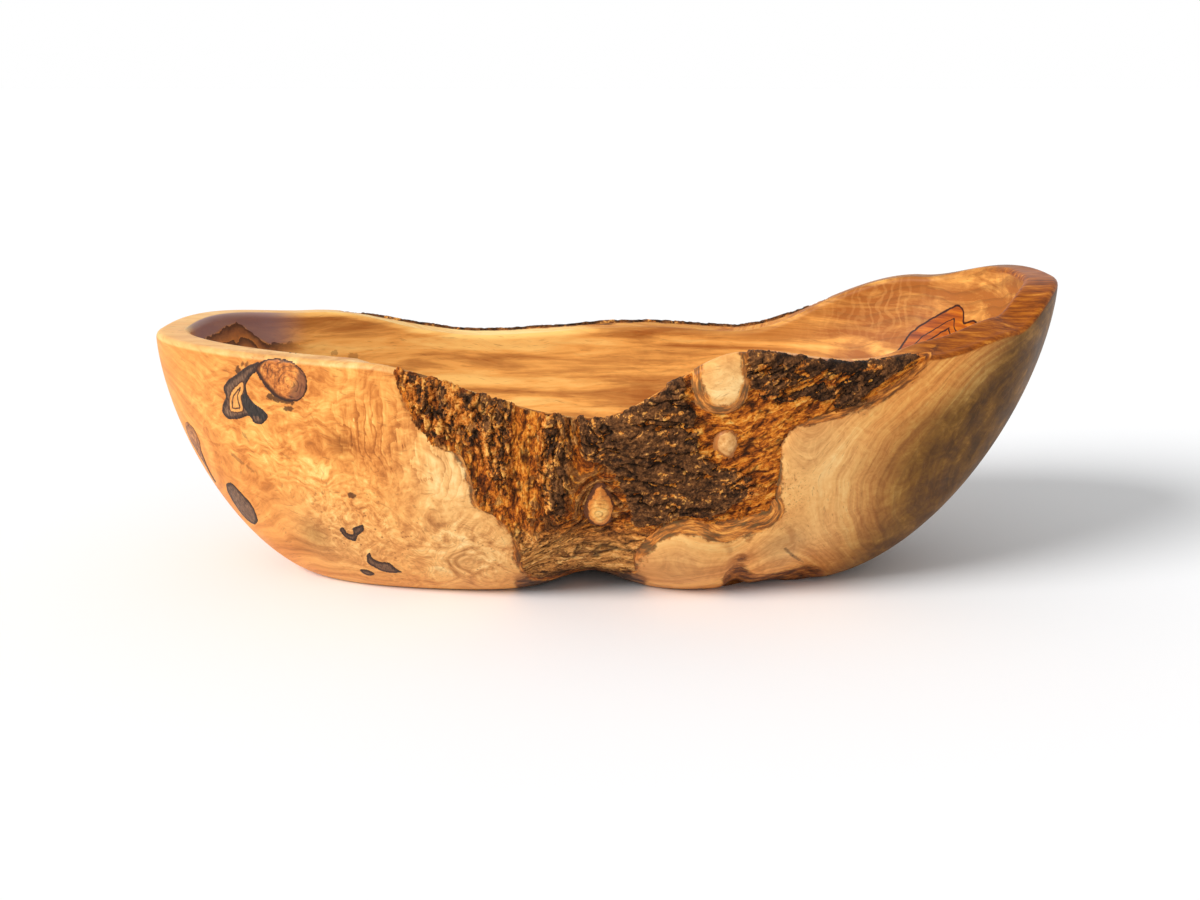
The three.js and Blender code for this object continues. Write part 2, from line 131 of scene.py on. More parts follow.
POCKET_SMALL = [(-5.8, 0.1), (-3.2, 1.3), (-0.3, 0.4), (0.9, -1.6), (-1.9, -3.5), (-4.8, -2.6)]

# Single marks in the wood: where each starts and ends, its width and its strength
MARKS = [
    ((-144, -53, 95), (-144, -53, 96), 1.7, 0.85), ((-142, -54, 98), (-141, -54, 99), 1.0, 0.7),
    ((-140, -55, 98), (-139, -55, 99), 1.1, 0.7), ((-100, -63, 47), (-99, -63, 47), 1.7, 0.85),
    ((-131, -59, 86), (-121, -62, 85), 1.7, 0.9), ((-124, -61, 82), (-122, -62, 82), 1.4, 0.85),
    ((-145, -49, 69), (-142, -49, 66), 1.0, 0.45), ((-151, -42, 58), (-147, -44, 55), 1.2, 0.45),
    ((-145, -45, 54), (-142, -46, 52), 1.0, 0.4), ((73, -60, 24), (77, -54, 19), 0.9, 0.6),
    ((77, -54, 19), (84, -43, 11), 1.0, 0.6), ((-127, 61, 80), (-126, 61, 80), 1.6, 0.4),
    ((-119, 63, 78), (-117, 63, 78), 1.8, 0.4)]


# Shape rules, for whole arrays of angles

def smooth(start, end, value):
    t = np.clip((value - start) / (end - start), 0, 1)
    return t * t * (3 - 2 * t)


def bell(offset, spread):
    return np.exp(-(offset / spread) ** 2)


def signed_power(value, power):
    return np.sign(value) * np.abs(value) ** power


def eased(stations, place):
    """Height on a run of (place, height) stations, level at each station."""
    height = np.full_like(place, stations[0][1])
    for (start, low), (end, high) in zip(stations, stations[1:]):
        height = np.where(place > start, low + (high - low) * smooth(start, end, place), height)
    return height


def facing(angle):
    return smooth(0.2, 0.8, -np.sin(angle))


def rim_outline(angle):
    c, s = np.cos(angle), np.sin(angle)
    right = smooth(-CORNER_BLEND, CORNER_BLEND, c)
    front = FULL_FRONT_LEFT + (FULL_FRONT_RIGHT - FULL_FRONT_LEFT) * right
    back = FULL_BACK_LEFT + (FULL_BACK_RIGHT - FULL_BACK_LEFT) * right
    power = 2 / np.where(s < 0, front, back)
    x = LENGTH / 2 * signed_power(c, power)
    y = np.where(s < 0, FRONT_DEPTH, BACK_DEPTH) * signed_power(s, power)
    y += WAIST_RIM_RECESS * bell(x - WAIST_X, WAIST_RIM_SPREAD) * facing(angle)
    return np.stack([x, y], -1)


def rim_height(angle):
    place = rim_outline(angle)[..., 0] / (LENGTH / 2)
    return np.where(np.sin(angle) < 0, eased(FRONT_RIM, place), eased(BACK_RIM, place))


def foot_oval(angle, length, depth):
    power = 2 / FOOT_FULLNESS
    x = FOOT_SHIFT + length / 2 * signed_power(np.cos(angle), power)
    return np.stack([x, depth / 2 * signed_power(np.sin(angle), power)], -1)


def foot_outline(angle):
    foot = foot_oval(angle, FOOT_LENGTH, FOOT_DEPTH)
    waist = WAIST_FOOT_RECESS * bell(foot[..., 0] - WAIST_X, WAIST_SPREAD)
    nick = NICK_RECESS * bell(foot[..., 0] - NICK_X, NICK_SPREAD)
    foot[..., 1] += facing(angle) * (waist + nick)
    return foot


def rim_inset(angle, inset):
    along = rim_outline(angle + 1e-4) - rim_outline(angle - 1e-4)
    along /= np.linalg.norm(along, axis=-1, keepdims=True)
    inward = np.stack([-along[..., 1], along[..., 0]], -1)
    return rim_outline(angle) + inward * np.asarray(inset)[..., None]


def rim_wall(angle):
    return RIM_WALL_SIDE + (RIM_WALL_END - RIM_WALL_SIDE) * np.cos(angle) ** 4


def inner_rim_height(angle):
    """Height of the rim's inner edge."""
    place = rim_outline(angle)[..., 0] / (LENGTH / 2)
    return rim_height(angle) - np.where(np.sin(angle) < 0, eased(FRONT_TILT, place), eased(BACK_TILT, place))


def mounds(points, places):
    """Height of flat-topped mounds, each with its middle along and up, reach each way, and height."""
    x, z = points[..., 0], points[..., 2]
    out = np.zeros_like(x)
    for along, up, wide, tall, height in places:
        out += height * np.exp(-(((x - along) / wide) ** 2 + ((z - up) / tall) ** 2) ** 2)
    return out


def on_front(points):
    return smooth(FRONT_FROM, FRONT_FULL, points[..., 1])


def at_height(plan, height):
    return np.concatenate([plan, np.broadcast_to(height, plan.shape[:-1])[..., None]], -1)


# Node helpers shared by shape trees and materials

HALF = (0.5, 0.5, 0.5)                  # what a noise's colour swings about
PLAIN_RESULTS = ("LENGTH", "DOT_PRODUCT")       # vector sums that give a single value


def add(tree, kind, inputs=None, **settings):
    """Place a node, set its properties and fill or link its inputs."""
    node = tree.nodes.new(kind)
    for name, value in settings.items():
        setattr(node, name, value)
    for name, value in (inputs or {}).items():
        feed(tree, node.inputs[name], value)
    return node


def feed(tree, socket, value):
    if isinstance(value, bpy.types.NodeSocket):
        tree.links.new(value, socket)
    else:
        socket.default_value = value


def calc(tree, operation, *values, clamp=False):
    node = add(tree, "ShaderNodeMath", operation=operation, use_clamp=clamp)
    for socket, value in zip(node.inputs, values):
        feed(tree, socket, value)
    return node.outputs[0]


def vector_calc(tree, operation, *values):
    node = add(tree, "ShaderNodeVectorMath", operation=operation)
    for socket, value in zip(node.inputs, values):
        feed(tree, socket, value)
    return node.outputs["Value" if operation in PLAIN_RESULTS else "Vector"]


def scaled(tree, vector, by):
    return add(tree, "ShaderNodeVectorMath", {0: vector, "Scale": by}, operation="SCALE").outputs["Vector"]


def ramped(tree, value, low, high, to_low=0.0, to_high=1.0):
    inputs = {"Value": value, "From Min": low, "From Max": high, "To Min": to_low, "To Max": to_high}
    return add(tree, "ShaderNodeMapRange", inputs, interpolation_type="SMOOTHSTEP").outputs[0]


def joined(tree, x, y, z):
    return add(tree, "ShaderNodeCombineXYZ", {"X": x, "Y": y, "Z": z}).outputs[0]


def split(tree, vector):
    return add(tree, "ShaderNodeSeparateXYZ", {0: vector}).outputs


def noise(tree, place, scale, detail=2.0, rough=0.5, twist=0.0, w=None):
    """Noise outputs, its value and its colour; a fourth coordinate is optional."""
    inputs = {"Vector": place, "Scale": scale, "Detail": detail, "Roughness": rough, "Distortion": twist}
    if w is not None:
        inputs["W"] = w
    return add(tree, "ShaderNodeTexNoise", inputs, noise_dimensions="3D" if w is None else "4D").outputs


def drifted(tree, place, size, detail, by, base=None):
    """A vector, the place itself unless another is given, moved about by a soft noise."""
    wander = vector_calc(tree, "SUBTRACT", noise(tree, place, 1 / size, detail)[1], HALF)
    return vector_calc(tree, "ADD", place if base is None else base, scaled(tree, wander, by))


def new_group(name, kind, inputs, outputs):
    """A node group with named sockets; returns the tree and its input and output nodes."""
    tree = bpy.data.node_groups.new(name, kind)
    for label, socket, default in inputs:
        made = tree.interface.new_socket(label, in_out="INPUT", socket_type=socket)
        if default is not None:
            made.default_value = default
    for label, socket in outputs:
        tree.interface.new_socket(label, in_out="OUTPUT", socket_type=socket)
    start = tree.nodes.new("NodeGroupInput")
    end = tree.nodes.new("NodeGroupOutput")
    return tree, start.outputs, end.inputs


def set_inputs(modifier, values):
    """Set a tree's inputs on its modifier by socket identifier."""
    for item in modifier.node_group.interface.items_tree:
        if item.item_type == "SOCKET" and item.in_out == "INPUT" and item.name in values:
            modifier[item.identifier] = values[item.name]


def evaluated_mesh(obj, name):
    """The object's mesh with its modifiers worked in."""
    graph = bpy.context.evaluated_depsgraph_get()
    mesh = bpy.data.meshes.new_from_object(obj.evaluated_get(graph))
    mesh.name = name
    return mesh


def mesh_object(name, points, faces):
    mesh = bpy.data.meshes.new(name)
    mesh.from_pydata((np.asarray(points) * MM).tolist(), [], faces)
    obj = bpy.data.objects.new(name, mesh)
    bpy.context.scene.collection.objects.link(obj)
    return obj


def worked(obj, tree, values):
    """Run a shape tree on an object and keep the result as its plain mesh."""
    modifier = obj.modifiers.new(tree.name, "NODES")
    modifier.node_group = tree
    set_inputs(modifier, values)
    mesh = evaluated_mesh(obj, obj.name)
    obj.modifiers.remove(modifier)
    old = obj.data
    obj.data = mesh
    bpy.data.meshes.remove(old)
    return obj


# Flared wall: a loft between two rings that leaves the low one level and meets the high one upright

def flared_wall_tree():
    inputs = [("Geometry", "NodeSocketGeometry", None), ("Low ring", "NodeSocketObject", None),
              ("High ring", "NodeSocketObject", None), ("Columns", "NodeSocketInt", 8),
              ("Courses", "NodeSocketInt", 4), ("Flare", "NodeSocketFloat", 2.0)]
    outputs = [("Geometry", "NodeSocketGeometry")]
    tree, given, result = new_group("flared_wall", "GeometryNodeTree", inputs, outputs)
    rows = calc(tree, "ADD", given["Courses"], 1)
    grid = add(tree, "GeometryNodeMeshGrid", {"Vertices X": given["Columns"], "Vertices Y": rows})
    index = add(tree, "GeometryNodeInputIndex").outputs[0]
    column = calc(tree, "FLOOR", calc(tree, "DIVIDE", calc(tree, "ADD", index, 0.5), rows))
    row = calc(tree, "SUBTRACT", index, calc(tree, "MULTIPLY", column, rows))
    ends = []
    for ring in ("Low ring", "High ring"):
        info = add(tree, "GeometryNodeObjectInfo", {"Object": given[ring]})
        sample = add(tree, "GeometryNodeSampleIndex", data_type="FLOAT_VECTOR", domain="POINT")
        feed(tree, sample.inputs["Geometry"], info.outputs["Geometry"])
        feed(tree, sample.inputs["Value"], add(tree, "GeometryNodeInputPosition").outputs[0])
        feed(tree, sample.inputs["Index"], column)
        ends.append(split(tree, sample.outputs[0]))
    turn = calc(tree, "MULTIPLY", calc(tree, "DIVIDE", row, given["Courses"]), math.pi / 2)
    power = calc(tree, "DIVIDE", 2.0, given["Flare"])
    out = calc(tree, "POWER", calc(tree, "SINE", turn), power)
    cosine = calc(tree, "MAXIMUM", calc(tree, "COSINE", turn), 0.0)
    up = calc(tree, "SUBTRACT", 1.0, calc(tree, "POWER", cosine, power))
    low, high = ends
    place = joined(tree, *(
        calc(tree, "MULTIPLY_ADD", calc(tree, "SUBTRACT", high[i], low[i]), share, low[i])
        for i, share in enumerate((out, out, up))))
    moved = add(tree, "GeometryNodeSetPosition", {"Geometry": grid.outputs["Mesh"], "Position": place})
    tree.links.new(moved.outputs[0], result["Geometry"])
    return tree


FLARED_WALL = flared_wall_tree()


def flared_wall(low, high, flare, courses):
    """Grid of points (column, course, xyz) lofted between two rings."""
    rings = [mesh_object(name, points, []) for name, points in (("low_ring", low), ("high_ring", high))]
    host = mesh_object("wall_host", np.zeros((1, 3)), [])
    worked(host, FLARED_WALL, {"Low ring": rings[0], "High ring": rings[1], "Columns": len(low),
                               "Courses": courses, "Flare": flare})
    points = np.empty(len(host.data.vertices) * 3)
    host.data.vertices.foreach_get("co", points)
    for obj in (host, *rings):
        bpy.data.meshes.remove(obj.data)
    return points.reshape(len(low), courses + 1, 3) / MM


def outer_rows(angle, courses, bends=5, across=6):
    """Skin from foot to rim, over the rounded edge and across the rim's top."""
    top = rim_height(angle)
    wall = flared_wall(at_height(foot_outline(angle), 0.0), at_height(rim_outline(angle), top - RIM_ROUNDING),
                       WALL_FLARE, courses)
    arch = bell(wall[..., 0] - WAIST_X, ARCH_SPREAD) * facing(angle)[:, None]
    wall[..., 2] += ARCH_RISE * arch * smooth(ARCH_REACH, 0, wall[..., 2])
    rows = [wall]
    for bend in np.arange(1, bends + 1) / bends * math.pi / 2:
        inset = np.full_like(angle, RIM_ROUNDING * (1 - math.cos(bend)))
        rows.append(at_height(rim_inset(angle, inset), top - RIM_ROUNDING * (1 - math.sin(bend)))[:, None])
    flat = rim_wall(angle) - 2 * RIM_ROUNDING
    for share in np.arange(1, across + 1) / across:
        height = top + (inner_rim_height(angle) - top) * share
        rows.append(at_height(rim_inset(angle, RIM_ROUNDING + flat * share), height)[:, None])
    grid = np.concatenate(rows, 1)
    grid[..., 1] -= mounds(grid, SWELLINGS) * on_front(grid)
    return grid


def hollow_rows(angle, courses, bends=5):
    """Inner rim edge, then the hollow's wall down to its floor outline."""
    top = inner_rim_height(angle)
    rows = []
    for bend in np.arange(1, bends) / bends * math.pi / 2:
        inset = rim_wall(angle) - RIM_ROUNDING * (1 - math.sin(bend))
        rows.append(at_height(rim_inset(angle, inset), top - RIM_ROUNDING * (1 - math.cos(bend)))[:, None])
    low = at_height(foot_oval(angle, HOLLOW_FLOOR_LENGTH, HOLLOW_FLOOR_DEPTH), FLOOR_THICKNESS)
    high = at_height(rim_inset(angle, rim_wall(angle)), top - RIM_ROUNDING)
    wall = flared_wall(low, high, HOLLOW_FLARE, courses)
    return np.concatenate([*rows, wall[:, ::-1]], 1)


def grid_normals(grid, closed):
    """Outward directions of a grid of points."""
    if closed:
        along = np.roll(grid, -1, 0) - np.roll(grid, 1, 0)
    else:
        along = np.gradient(grid, axis=0)
    normal = np.cross(along, np.gradient(grid, axis=1))
    return normal / np.maximum(np.linalg.norm(normal, axis=-1, keepdims=True), 1e-9)


# Outlines

def closed_spline(points, steps=6):
    """Smooth closed outline through given points, spaced so that it never loops."""
    p1 = np.asarray(points, float)
    p0, p2, p3 = (np.roll(p1, shift, axis=0) for shift in (1, -1, -2))
    t1, gap, last = (np.sqrt(np.linalg.norm(b - a, axis=1))[:, None, None]
                     for a, b in ((p0, p1), (p1, p2), (p2, p3)))
    t2 = t1 + gap
    t3 = t2 + last
    t = t1 + gap * np.linspace(0, 1, steps, endpoint=False)[None, :, None]
    p0, p1, p2, p3 = (p[:, None] for p in (p0, p1, p2, p3))
    a1 = (t1 - t) / t1 * p0 + t / t1 * p1
    a2 = (t2 - t) / gap * p1 + (t - t1) / gap * p2
    a3 = (t3 - t) / last * p2 + (t - t2) / last * p3
    b1 = (t2 - t) / t2 * a1 + t / t2 * a2
    b2 = (t3 - t) / (t3 - t1) * a2 + (t - t1) / (t3 - t1) * a3
    return ((t2 - t) / gap * b1 + (t - t1) / gap * b2).reshape(-1, 2)


def line_distance(points, line):
    """Distance from points to an open run of straight pieces."""
    best = np.full(len(points), 1e9)
    for start, end in zip(line[:-1], line[1:]):
        piece = end - start
        share = np.clip((points - start) @ piece / max(piece @ piece, 1e-9), 0, 1)
        best = np.minimum(best, np.linalg.norm(points - start - share[:, None] * piece, axis=1))
    return best


def outline_distance(points, outline):
    """Distance from points to a closed outline, negative inside."""
    ring = np.vstack([outline, outline[:1]])
    inside = np.zeros(len(points), bool)
    for start, end in zip(ring[:-1], ring[1:]):
        crosses = (start[1] > points[:, 1]) != (end[1] > points[:, 1])
        rise = end[1] - start[1] if end[1] != start[1] else 1e-9
        inside ^= crosses & (points[:, 0] < start[0] + (points[:, 1] - start[1]) * (end[0] - start[0]) / rise)
    distance = line_distance(points, ring)
    return np.where(inside, -distance, distance)


# Attributes and shells

def set_attribute(obj, name, values):
    values = np.asarray(values, float)
    kind = "FLOAT" if values.ndim == 1 else "FLOAT_VECTOR"
    layer = obj.data.attributes.new(name, kind, "POINT")
    layer.data.foreach_set("value" if values.ndim == 1 else "vector", values.ravel())


def shade_smooth(obj):
    obj.data.polygons.foreach_set("use_smooth", [True] * len(obj.data.polygons))


def shell(name, grid, keep, depth, layers):
    """Closed sheet over the kept cells of a grid, with the given point layers on its top."""
    columns, rows = grid.shape[:2]
    ids = np.arange(columns * rows).reshape(columns, rows)
    corners = np.stack([ids[:-1, :-1], ids[1:, :-1], ids[1:, 1:], ids[:-1, 1:]], -1)[keep]
    used, faces = np.unique(corners, return_inverse=True)
    faces = faces.reshape(-1, 4)
    count = len(used)
    starts, stops = faces.ravel(), np.roll(faces, -1, axis=1).ravel()
    open_edge = ~np.isin(starts * count + stops, stops * count + starts)
    a, b = starts[open_edge], stops[open_edge]
    sides = np.stack([b, a, a + count, b + count], -1)
    top = grid.reshape(-1, 3)[used]
    outward = grid_normals(grid, False).reshape(-1, 3)[used]
    obj = mesh_object(name, np.vstack([top, top - outward * depth]),
                      np.vstack([faces, faces[:, ::-1] + count, sides]).tolist())
    lifted = np.arange(2 * count) < count
    set_attribute(obj, "lift", lifted)
    set_attribute(obj, "outward", np.vstack([outward, outward]))
    for layer, values in layers.items():
        flat = values.reshape(columns * rows, *values.shape[2:])[used]
        set_attribute(obj, layer, np.concatenate([flat, flat]))
    return obj


# Camera: the photograph's view, a little above level

CAMERA_DISTANCE, CAMERA_ELEVATION, CAMERA_LENS, CAMERA_SENSOR = 650.0, 14.8, 44.75, 36.0
CAMERA_PIVOT = (0.0, 0.0, 50.0)         # the distance is measured from here
CAMERA_AIM = (-1.45, 0.0, 49.0)
NEAREST_SEEN = 10.0


def aimed(obj, place, aim):
    """Put a lamp or camera at a place, looking at another."""
    x, y, z = np.subtract(aim, place)
    obj.location = np.array(place) * MM
    obj.rotation_euler = (math.atan2(math.hypot(x, y), -z), 0, -math.atan2(x, y))
    bpy.context.scene.collection.objects.link(obj)


def make_camera():
    data = bpy.data.cameras.new("camera")
    data.lens, data.sensor_width, data.clip_start = CAMERA_LENS, CAMERA_SENSOR, NEAREST_SEEN * MM
    lift = math.radians(CAMERA_ELEVATION)
    away = CAMERA_DISTANCE * np.array([0, -math.cos(lift), math.sin(lift)])
    camera = bpy.data.objects.new("camera", data)
    aimed(camera, away + CAMERA_PIVOT, CAMERA_AIM)
    bpy.context.scene.camera = camera


make_camera()


# Colours as seen, 0 to 255: single shades, and ramps whose stops start with their place

GOLD_WOOD = [(0.1, 150, 82, 32), (0.34, 200, 120, 52), (0.5, 228, 150, 72), (0.64, 241, 176, 91),
             (0.88, 255, 218, 132)]
PALE_WOOD = [(0.1, 152, 100, 54), (0.36, 206, 148, 86), (0.58, 236, 182, 112), (0.86, 254, 216, 150)]
BROWN_WOOD = [(0.1, 46, 25, 3), (0.4, 84, 52, 9), (0.6, 115, 75, 16), (0.9, 171, 121, 50)]
HONEY_WOOD = [(0.1, 170, 102, 42), (0.36, 202, 137, 66), (0.56, 238, 170, 86), (0.86, 253, 202, 116)]
RED_RIM = [(0.3, 86, 38, 4), (0.48, 144, 72, 9), (0.6, 176, 99, 22), (0.75, 218, 145, 56)]
RUSTY_WOOD = [(0.38, 52, 25, 8), (0.47, 112, 56, 17), (0.55, 184, 102, 32), (0.68, 240, 162, 70)]
# Reddish-brown stain, and painted shade in the creases beside the bosses and under the waist
STAIN_AND_SHADE_WOOD = [(0.34, 48, 28, 17), (0.44, 104, 59, 30), (0.56, 162, 97, 44), (0.72, 216, 146, 76)]
# Painted shadow under the waist's arch, near-black brown
WOOD_FOOT_SHADOW = [(0.36, 40, 29, 23), (0.5, 65, 49, 39), (0.64, 108, 79, 56)]
WEDGE_WOOD = [(0.3, 122, 52, 3), (0.5, 168, 82, 6), (0.7, 206, 120, 22)]
SWIRL_WOOD = [(0.0, 206, 134, 70), (0.45, 158, 104, 66), (0.8, 96, 60, 46), (0.97, 62, 38, 32)]
RING_LINE, PORE, BURL_MARK, DOT = (96, 60, 26), (128, 78, 38), (136, 80, 40), (126, 76, 36)
SINGLE_MARK, RIPPLE, BOSS_LINE = (74, 44, 26), (246, 184, 104), (172, 106, 52)
# The purple of the wood inside the low end is partly painted shade
WEDGE_LINE, PURPLE_WOOD_SHADE = (54, 18, 2), (154, 127, 132)

AMBER_STRINGS = [(0.14, 62, 27, 8), (0.34, 132, 64, 16), (0.5, 198, 105, 27), (0.66, 236, 146, 48),
                 (0.9, 254, 194, 98)]
DULL_STRINGS = [(0.1, 96, 60, 27), (0.34, 180, 121, 60), (0.56, 230, 166, 91), (0.85, 252, 208, 133)]
STRING_CRUST = [(0.14, 38, 20, 9), (0.4, 92, 54, 25), (0.62, 146, 90, 43), (0.9, 216, 150, 82)]
BRIGHT_LIP = [(0.32, 146, 64, 10), (0.46, 216, 114, 26), (0.64, 250, 170, 66)]
STRING_BORDER, STRING_CRACK = (112, 52, 18), (34, 18, 8)
# The second shade here, for the foot of the waist, is a painted shadow under its arch
STRING_PIT, STRING_FOOT_SHADOW = (66, 35, 14), (51, 40, 35)
PLATE_CRUST = [(0.1, 36, 21, 11), (0.34, 76, 46, 23), (0.54, 114, 71, 37), (0.74, 152, 99, 53),
               (0.95, 204, 143, 84)]
PLATE_RUST = [(0.1, 78, 35, 10), (0.34, 154, 78, 23), (0.54, 220, 126, 41), (0.8, 252, 188, 94)]
# The pale fleck shade is partly bark flecks and partly painted glints
PLATE_CRACK, PLATE_PIT, PLATE_FLECK_GLINT = (20, 11, 5), (34, 19, 8), (232, 172, 100)

POCKET_BROWN = [(0.12, 34, 20, 13), (0.4, 68, 44, 30), (0.62, 118, 84, 60), (0.95, 168, 130, 94)]
EAR_WOOD = [(0.3, 196, 120, 52), (0.55, 232, 160, 80), (0.8, 248, 194, 116)]
EAR_DARK = [(0.35, 26, 18, 14), (0.6, 56, 46, 38), (0.8, 92, 78, 64)]
EAR_LINE = (70, 38, 20)
PALE_FLOOR = [(0.3, 249, 250, 251), (0.7, 252, 252, 253)]


# Finishes: small helpers

MIX_SHARE, MIX_FIRST, MIX_SECOND = 0, 6, 7      # a colour mix's own sockets


def tone(red, green, blue):
    """Colour as seen (0 to 255) to the linear colour that nodes use."""
    seen = np.array([red, green, blue]) / 255
    linear = np.where(seen <= 0.04045, seen / 12.92, ((seen + 0.055) / 1.055) ** 2.4)
    return (*linear.tolist(), 1.0)


def mixed(tree, share, first, second):
    inputs = {MIX_SHARE: share, MIX_FIRST: first, MIX_SECOND: second}
    return add(tree, "ShaderNodeMix", inputs, data_type="RGBA").outputs[2]


def painted(tree, colour, shade, *shares):
    """A plain shade laid over a colour, by the product of its shares."""
    return mixed(tree, times(tree, *shares), colour, tone(*shade))


def coloured(tree, value, stops):
    """Colour ramp through (place, red, green, blue) stops."""
    node = add(tree, "ShaderNodeValToRGB", {0: value})
    ramp = node.color_ramp
    while len(ramp.elements) < len(stops):
        ramp.elements.new(0.5)
    for element, (place, *colour) in zip(ramp.elements, stops):
        element.position = place
        element.color = tone(*colour)
    return node.outputs[0]


def attribute(tree, name, output="Fac"):
    return add(tree, "ShaderNodeAttribute", attribute_name=name).outputs[output]


def new_material(name, roughness, shine):
    material = bpy.data.materials.new(name)
    material.use_nodes = True
    tree = material.node_tree
    surface = tree.nodes["Principled BSDF"].inputs
    surface["Roughness"].default_value = roughness
    surface["Specular IOR Level"].default_value = shine
    return material, tree, surface


def object_mm(tree):
    return scaled(tree, add(tree, "ShaderNodeTexCoord").outputs["Object"], 1 / MM)


def bumped(tree, height, strength, distance, under=None):
    inputs = {"Height": height, "Strength": strength, "Distance": distance * MM}
    if under is not None:
        inputs["Normal"] = under
    return add(tree, "ShaderNodeBump", inputs).outputs[0]


def times(tree, *values):
    product = values[0]
    for value in values[1:]:
        product = calc(tree, "MULTIPLY", product, value)
    return product


def total(tree, *values):
    result = values[0]
    for value in values[1:]:
        result = calc(tree, "ADD", result, value)
    return result


def inverse(tree, value):
    return calc(tree, "SUBTRACT", 1.0, value)


def swung(tree, value, by):
    """A 0 to 1 noise turned into a swing of plus or minus about by."""
    return times(tree, calc(tree, "SUBTRACT", value, 0.5), 2.0 * by)


def mixed_value(tree, share, first, second):
    return total(tree, times(tree, inverse(tree, share), first), times(tree, share, second))


def away_from(tree, value, middle):
    return calc(tree, "ABSOLUTE", calc(tree, "SUBTRACT", value, middle))


def mottle(tree, place, size, detail=2.0, rough=0.5, twist=0.0):
    """Soft noise with lumps of about a size."""
    return noise(tree, place, 1 / size, detail, rough, twist)[0]


def streaked(tree, place, stretch, detail, rough, twist=0.0):
    """Noise drawn out along the axes that have a small stretch."""
    return noise(tree, vector_calc(tree, "MULTIPLY", place, stretch), 1.0, detail, rough, twist)[0]


def group_outputs(tree, group, inputs):
    return add(tree, "ShaderNodeGroup", inputs, node_tree=group).outputs


# Finishes: effects that several materials share

def shared_effect(name, vectors, values, outputs):
    """An empty shader group with vector and value inputs and value outputs."""
    inputs = [(label, "NodeSocketVector", None) for label in vectors]
    inputs += [(label, "NodeSocketFloat", default) for label, default in values.items()]
    return new_group(name, "ShaderNodeTree", inputs, [(label, "NodeSocketFloat") for label in outputs])


def put_out(tree, result, values):
    for name, value in values.items():
        tree.links.new(value, result[name])
    return tree


def grain_group():
    """Growth figure of the log: fine streaks, broad bands, ring lines and pores."""
    tree, given, result = shared_effect("grain_figure", ["Place"], {"Ring": 0.0, "Sway": 8.0},
                                        ["Fine", "Broad", "Line", "Pore"])
    warp = noise(tree, given["Place"], 1 / 34)
    ring = total(tree, given["Ring"], times(tree, swung(tree, warp[0], 1.0), given["Sway"]))
    drift = vector_calc(tree, "SUBTRACT", warp[1], HALF)
    x, y, z = split(tree, vector_calc(tree, "ADD", given["Place"], scaled(tree, drift, given["Sway"])))

    def layered(along, across, rise, detail, rough=0.5):
        place = joined(tree, times(tree, x, along), times(tree, ring, across), times(tree, z, rise))
        return noise(tree, place, 1.0, detail, rough, w=times(tree, y, rise))[0]

    fine = layered(0.011, 0.42, 0.02, 5.0, 0.62)
    broad = layered(0.005, 0.10, 0.008, 2.5)
    turn = calc(tree, "FRACT", total(tree, times(tree, ring, 1 / 5.5), times(tree, broad, 2.2)))
    line = times(tree, ramped(tree, turn, 0.55, 0.92), ramped(tree, turn, 1.0, 0.94))
    pore = ramped(tree, layered(0.16, 2.6, 0.3, 1.0), 0.62, 0.74)
    return put_out(tree, result, {"Fine": fine, "Broad": broad, "Line": line, "Pore": pore})


def hand_finish_group():
    """Oiled, hand-sanded surface: roughness in soft patches, and faint tool facets and scratches."""
    tree, given, result = shared_effect("hand_finish", ["Place"], {"Roughness": 0.45},
                                        ["Roughness", "Height"])
    patch = mottle(tree, given["Place"], 14, 3.0, 0.6)
    facet = mottle(tree, given["Place"], 9, 1.0)
    scratch = streaked(tree, given["Place"], (0.25, 1.4, 1.4), 2.0, 0.7)
    rough = total(tree, given["Roughness"], swung(tree, patch, 0.14))
    height = total(tree, times(tree, facet, 0.8), times(tree, scratch, 0.12))
    return put_out(tree, result, {"Roughness": rough, "Height": height})


def crumble_group():
    """Weathered bark grain: light flecks, partly painted glints, dark pits and a gritty height."""
    tree, given, result = shared_effect("crumble", ["Place"], {"Size": 1.5}, ["Fleck", "Pit", "Height"])
    scale = calc(tree, "DIVIDE", 1.0, given["Size"])
    grit = noise(tree, given["Place"], scale, 5.0, 0.75)[0]
    clod = noise(tree, given["Place"], times(tree, scale, 0.37), 3.0, 0.6, 0.8)[0]
    pit = ramped(tree, clod, 0.45, 0.33)
    fleck = times(tree, ramped(tree, grit, 0.57, 0.7), inverse(tree, pit))
    height = times(tree, total(tree, grit, times(tree, clod, 0.8)), 0.55)
    return put_out(tree, result, {"Fleck": fleck, "Pit": pit, "Height": height})


def strand_group():
    """Stringy noise that follows the bark's own fibres, wandering a little."""
    tree, given, result = shared_effect("strands", ["Place", "Fibre"], {"Across": 1.0, "Along": 0.2},
                                        ["Strand"])
    fibre = drifted(tree, given["Place"], 8, 2.0, 4.5, given["Fibre"])
    stretch = joined(tree, given["Across"], given["Along"], 1.0)
    return put_out(tree, result, {"Strand": streaked(tree, fibre, stretch, 4.0, 0.68, 0.5)})


GRAIN, HAND_FINISH, CRUMBLE, STRANDS = grain_group(), hand_finish_group(), crumble_group(), strand_group()


def sanded(tree, surface, place, roughness, height, strength, depth):
    """Hand-finished roughness and bump under a material's own fine height."""
    finish = group_outputs(tree, HAND_FINISH, {"Place": place, "Roughness": roughness})
    feed(tree, surface["Roughness"], finish["Roughness"])
    soft = bumped(tree, finish["Height"], 0.25, 0.6)
    feed(tree, surface["Normal"], bumped(tree, height, strength, depth, soft))


def strands(tree, place, across, along):
    fibre = attribute(tree, "fibre", "Vector")
    inputs = {"Place": place, "Fibre": fibre, "Across": across, "Along": along}
    return group_outputs(tree, STRANDS, inputs)["Strand"]


# Finishes: the wood

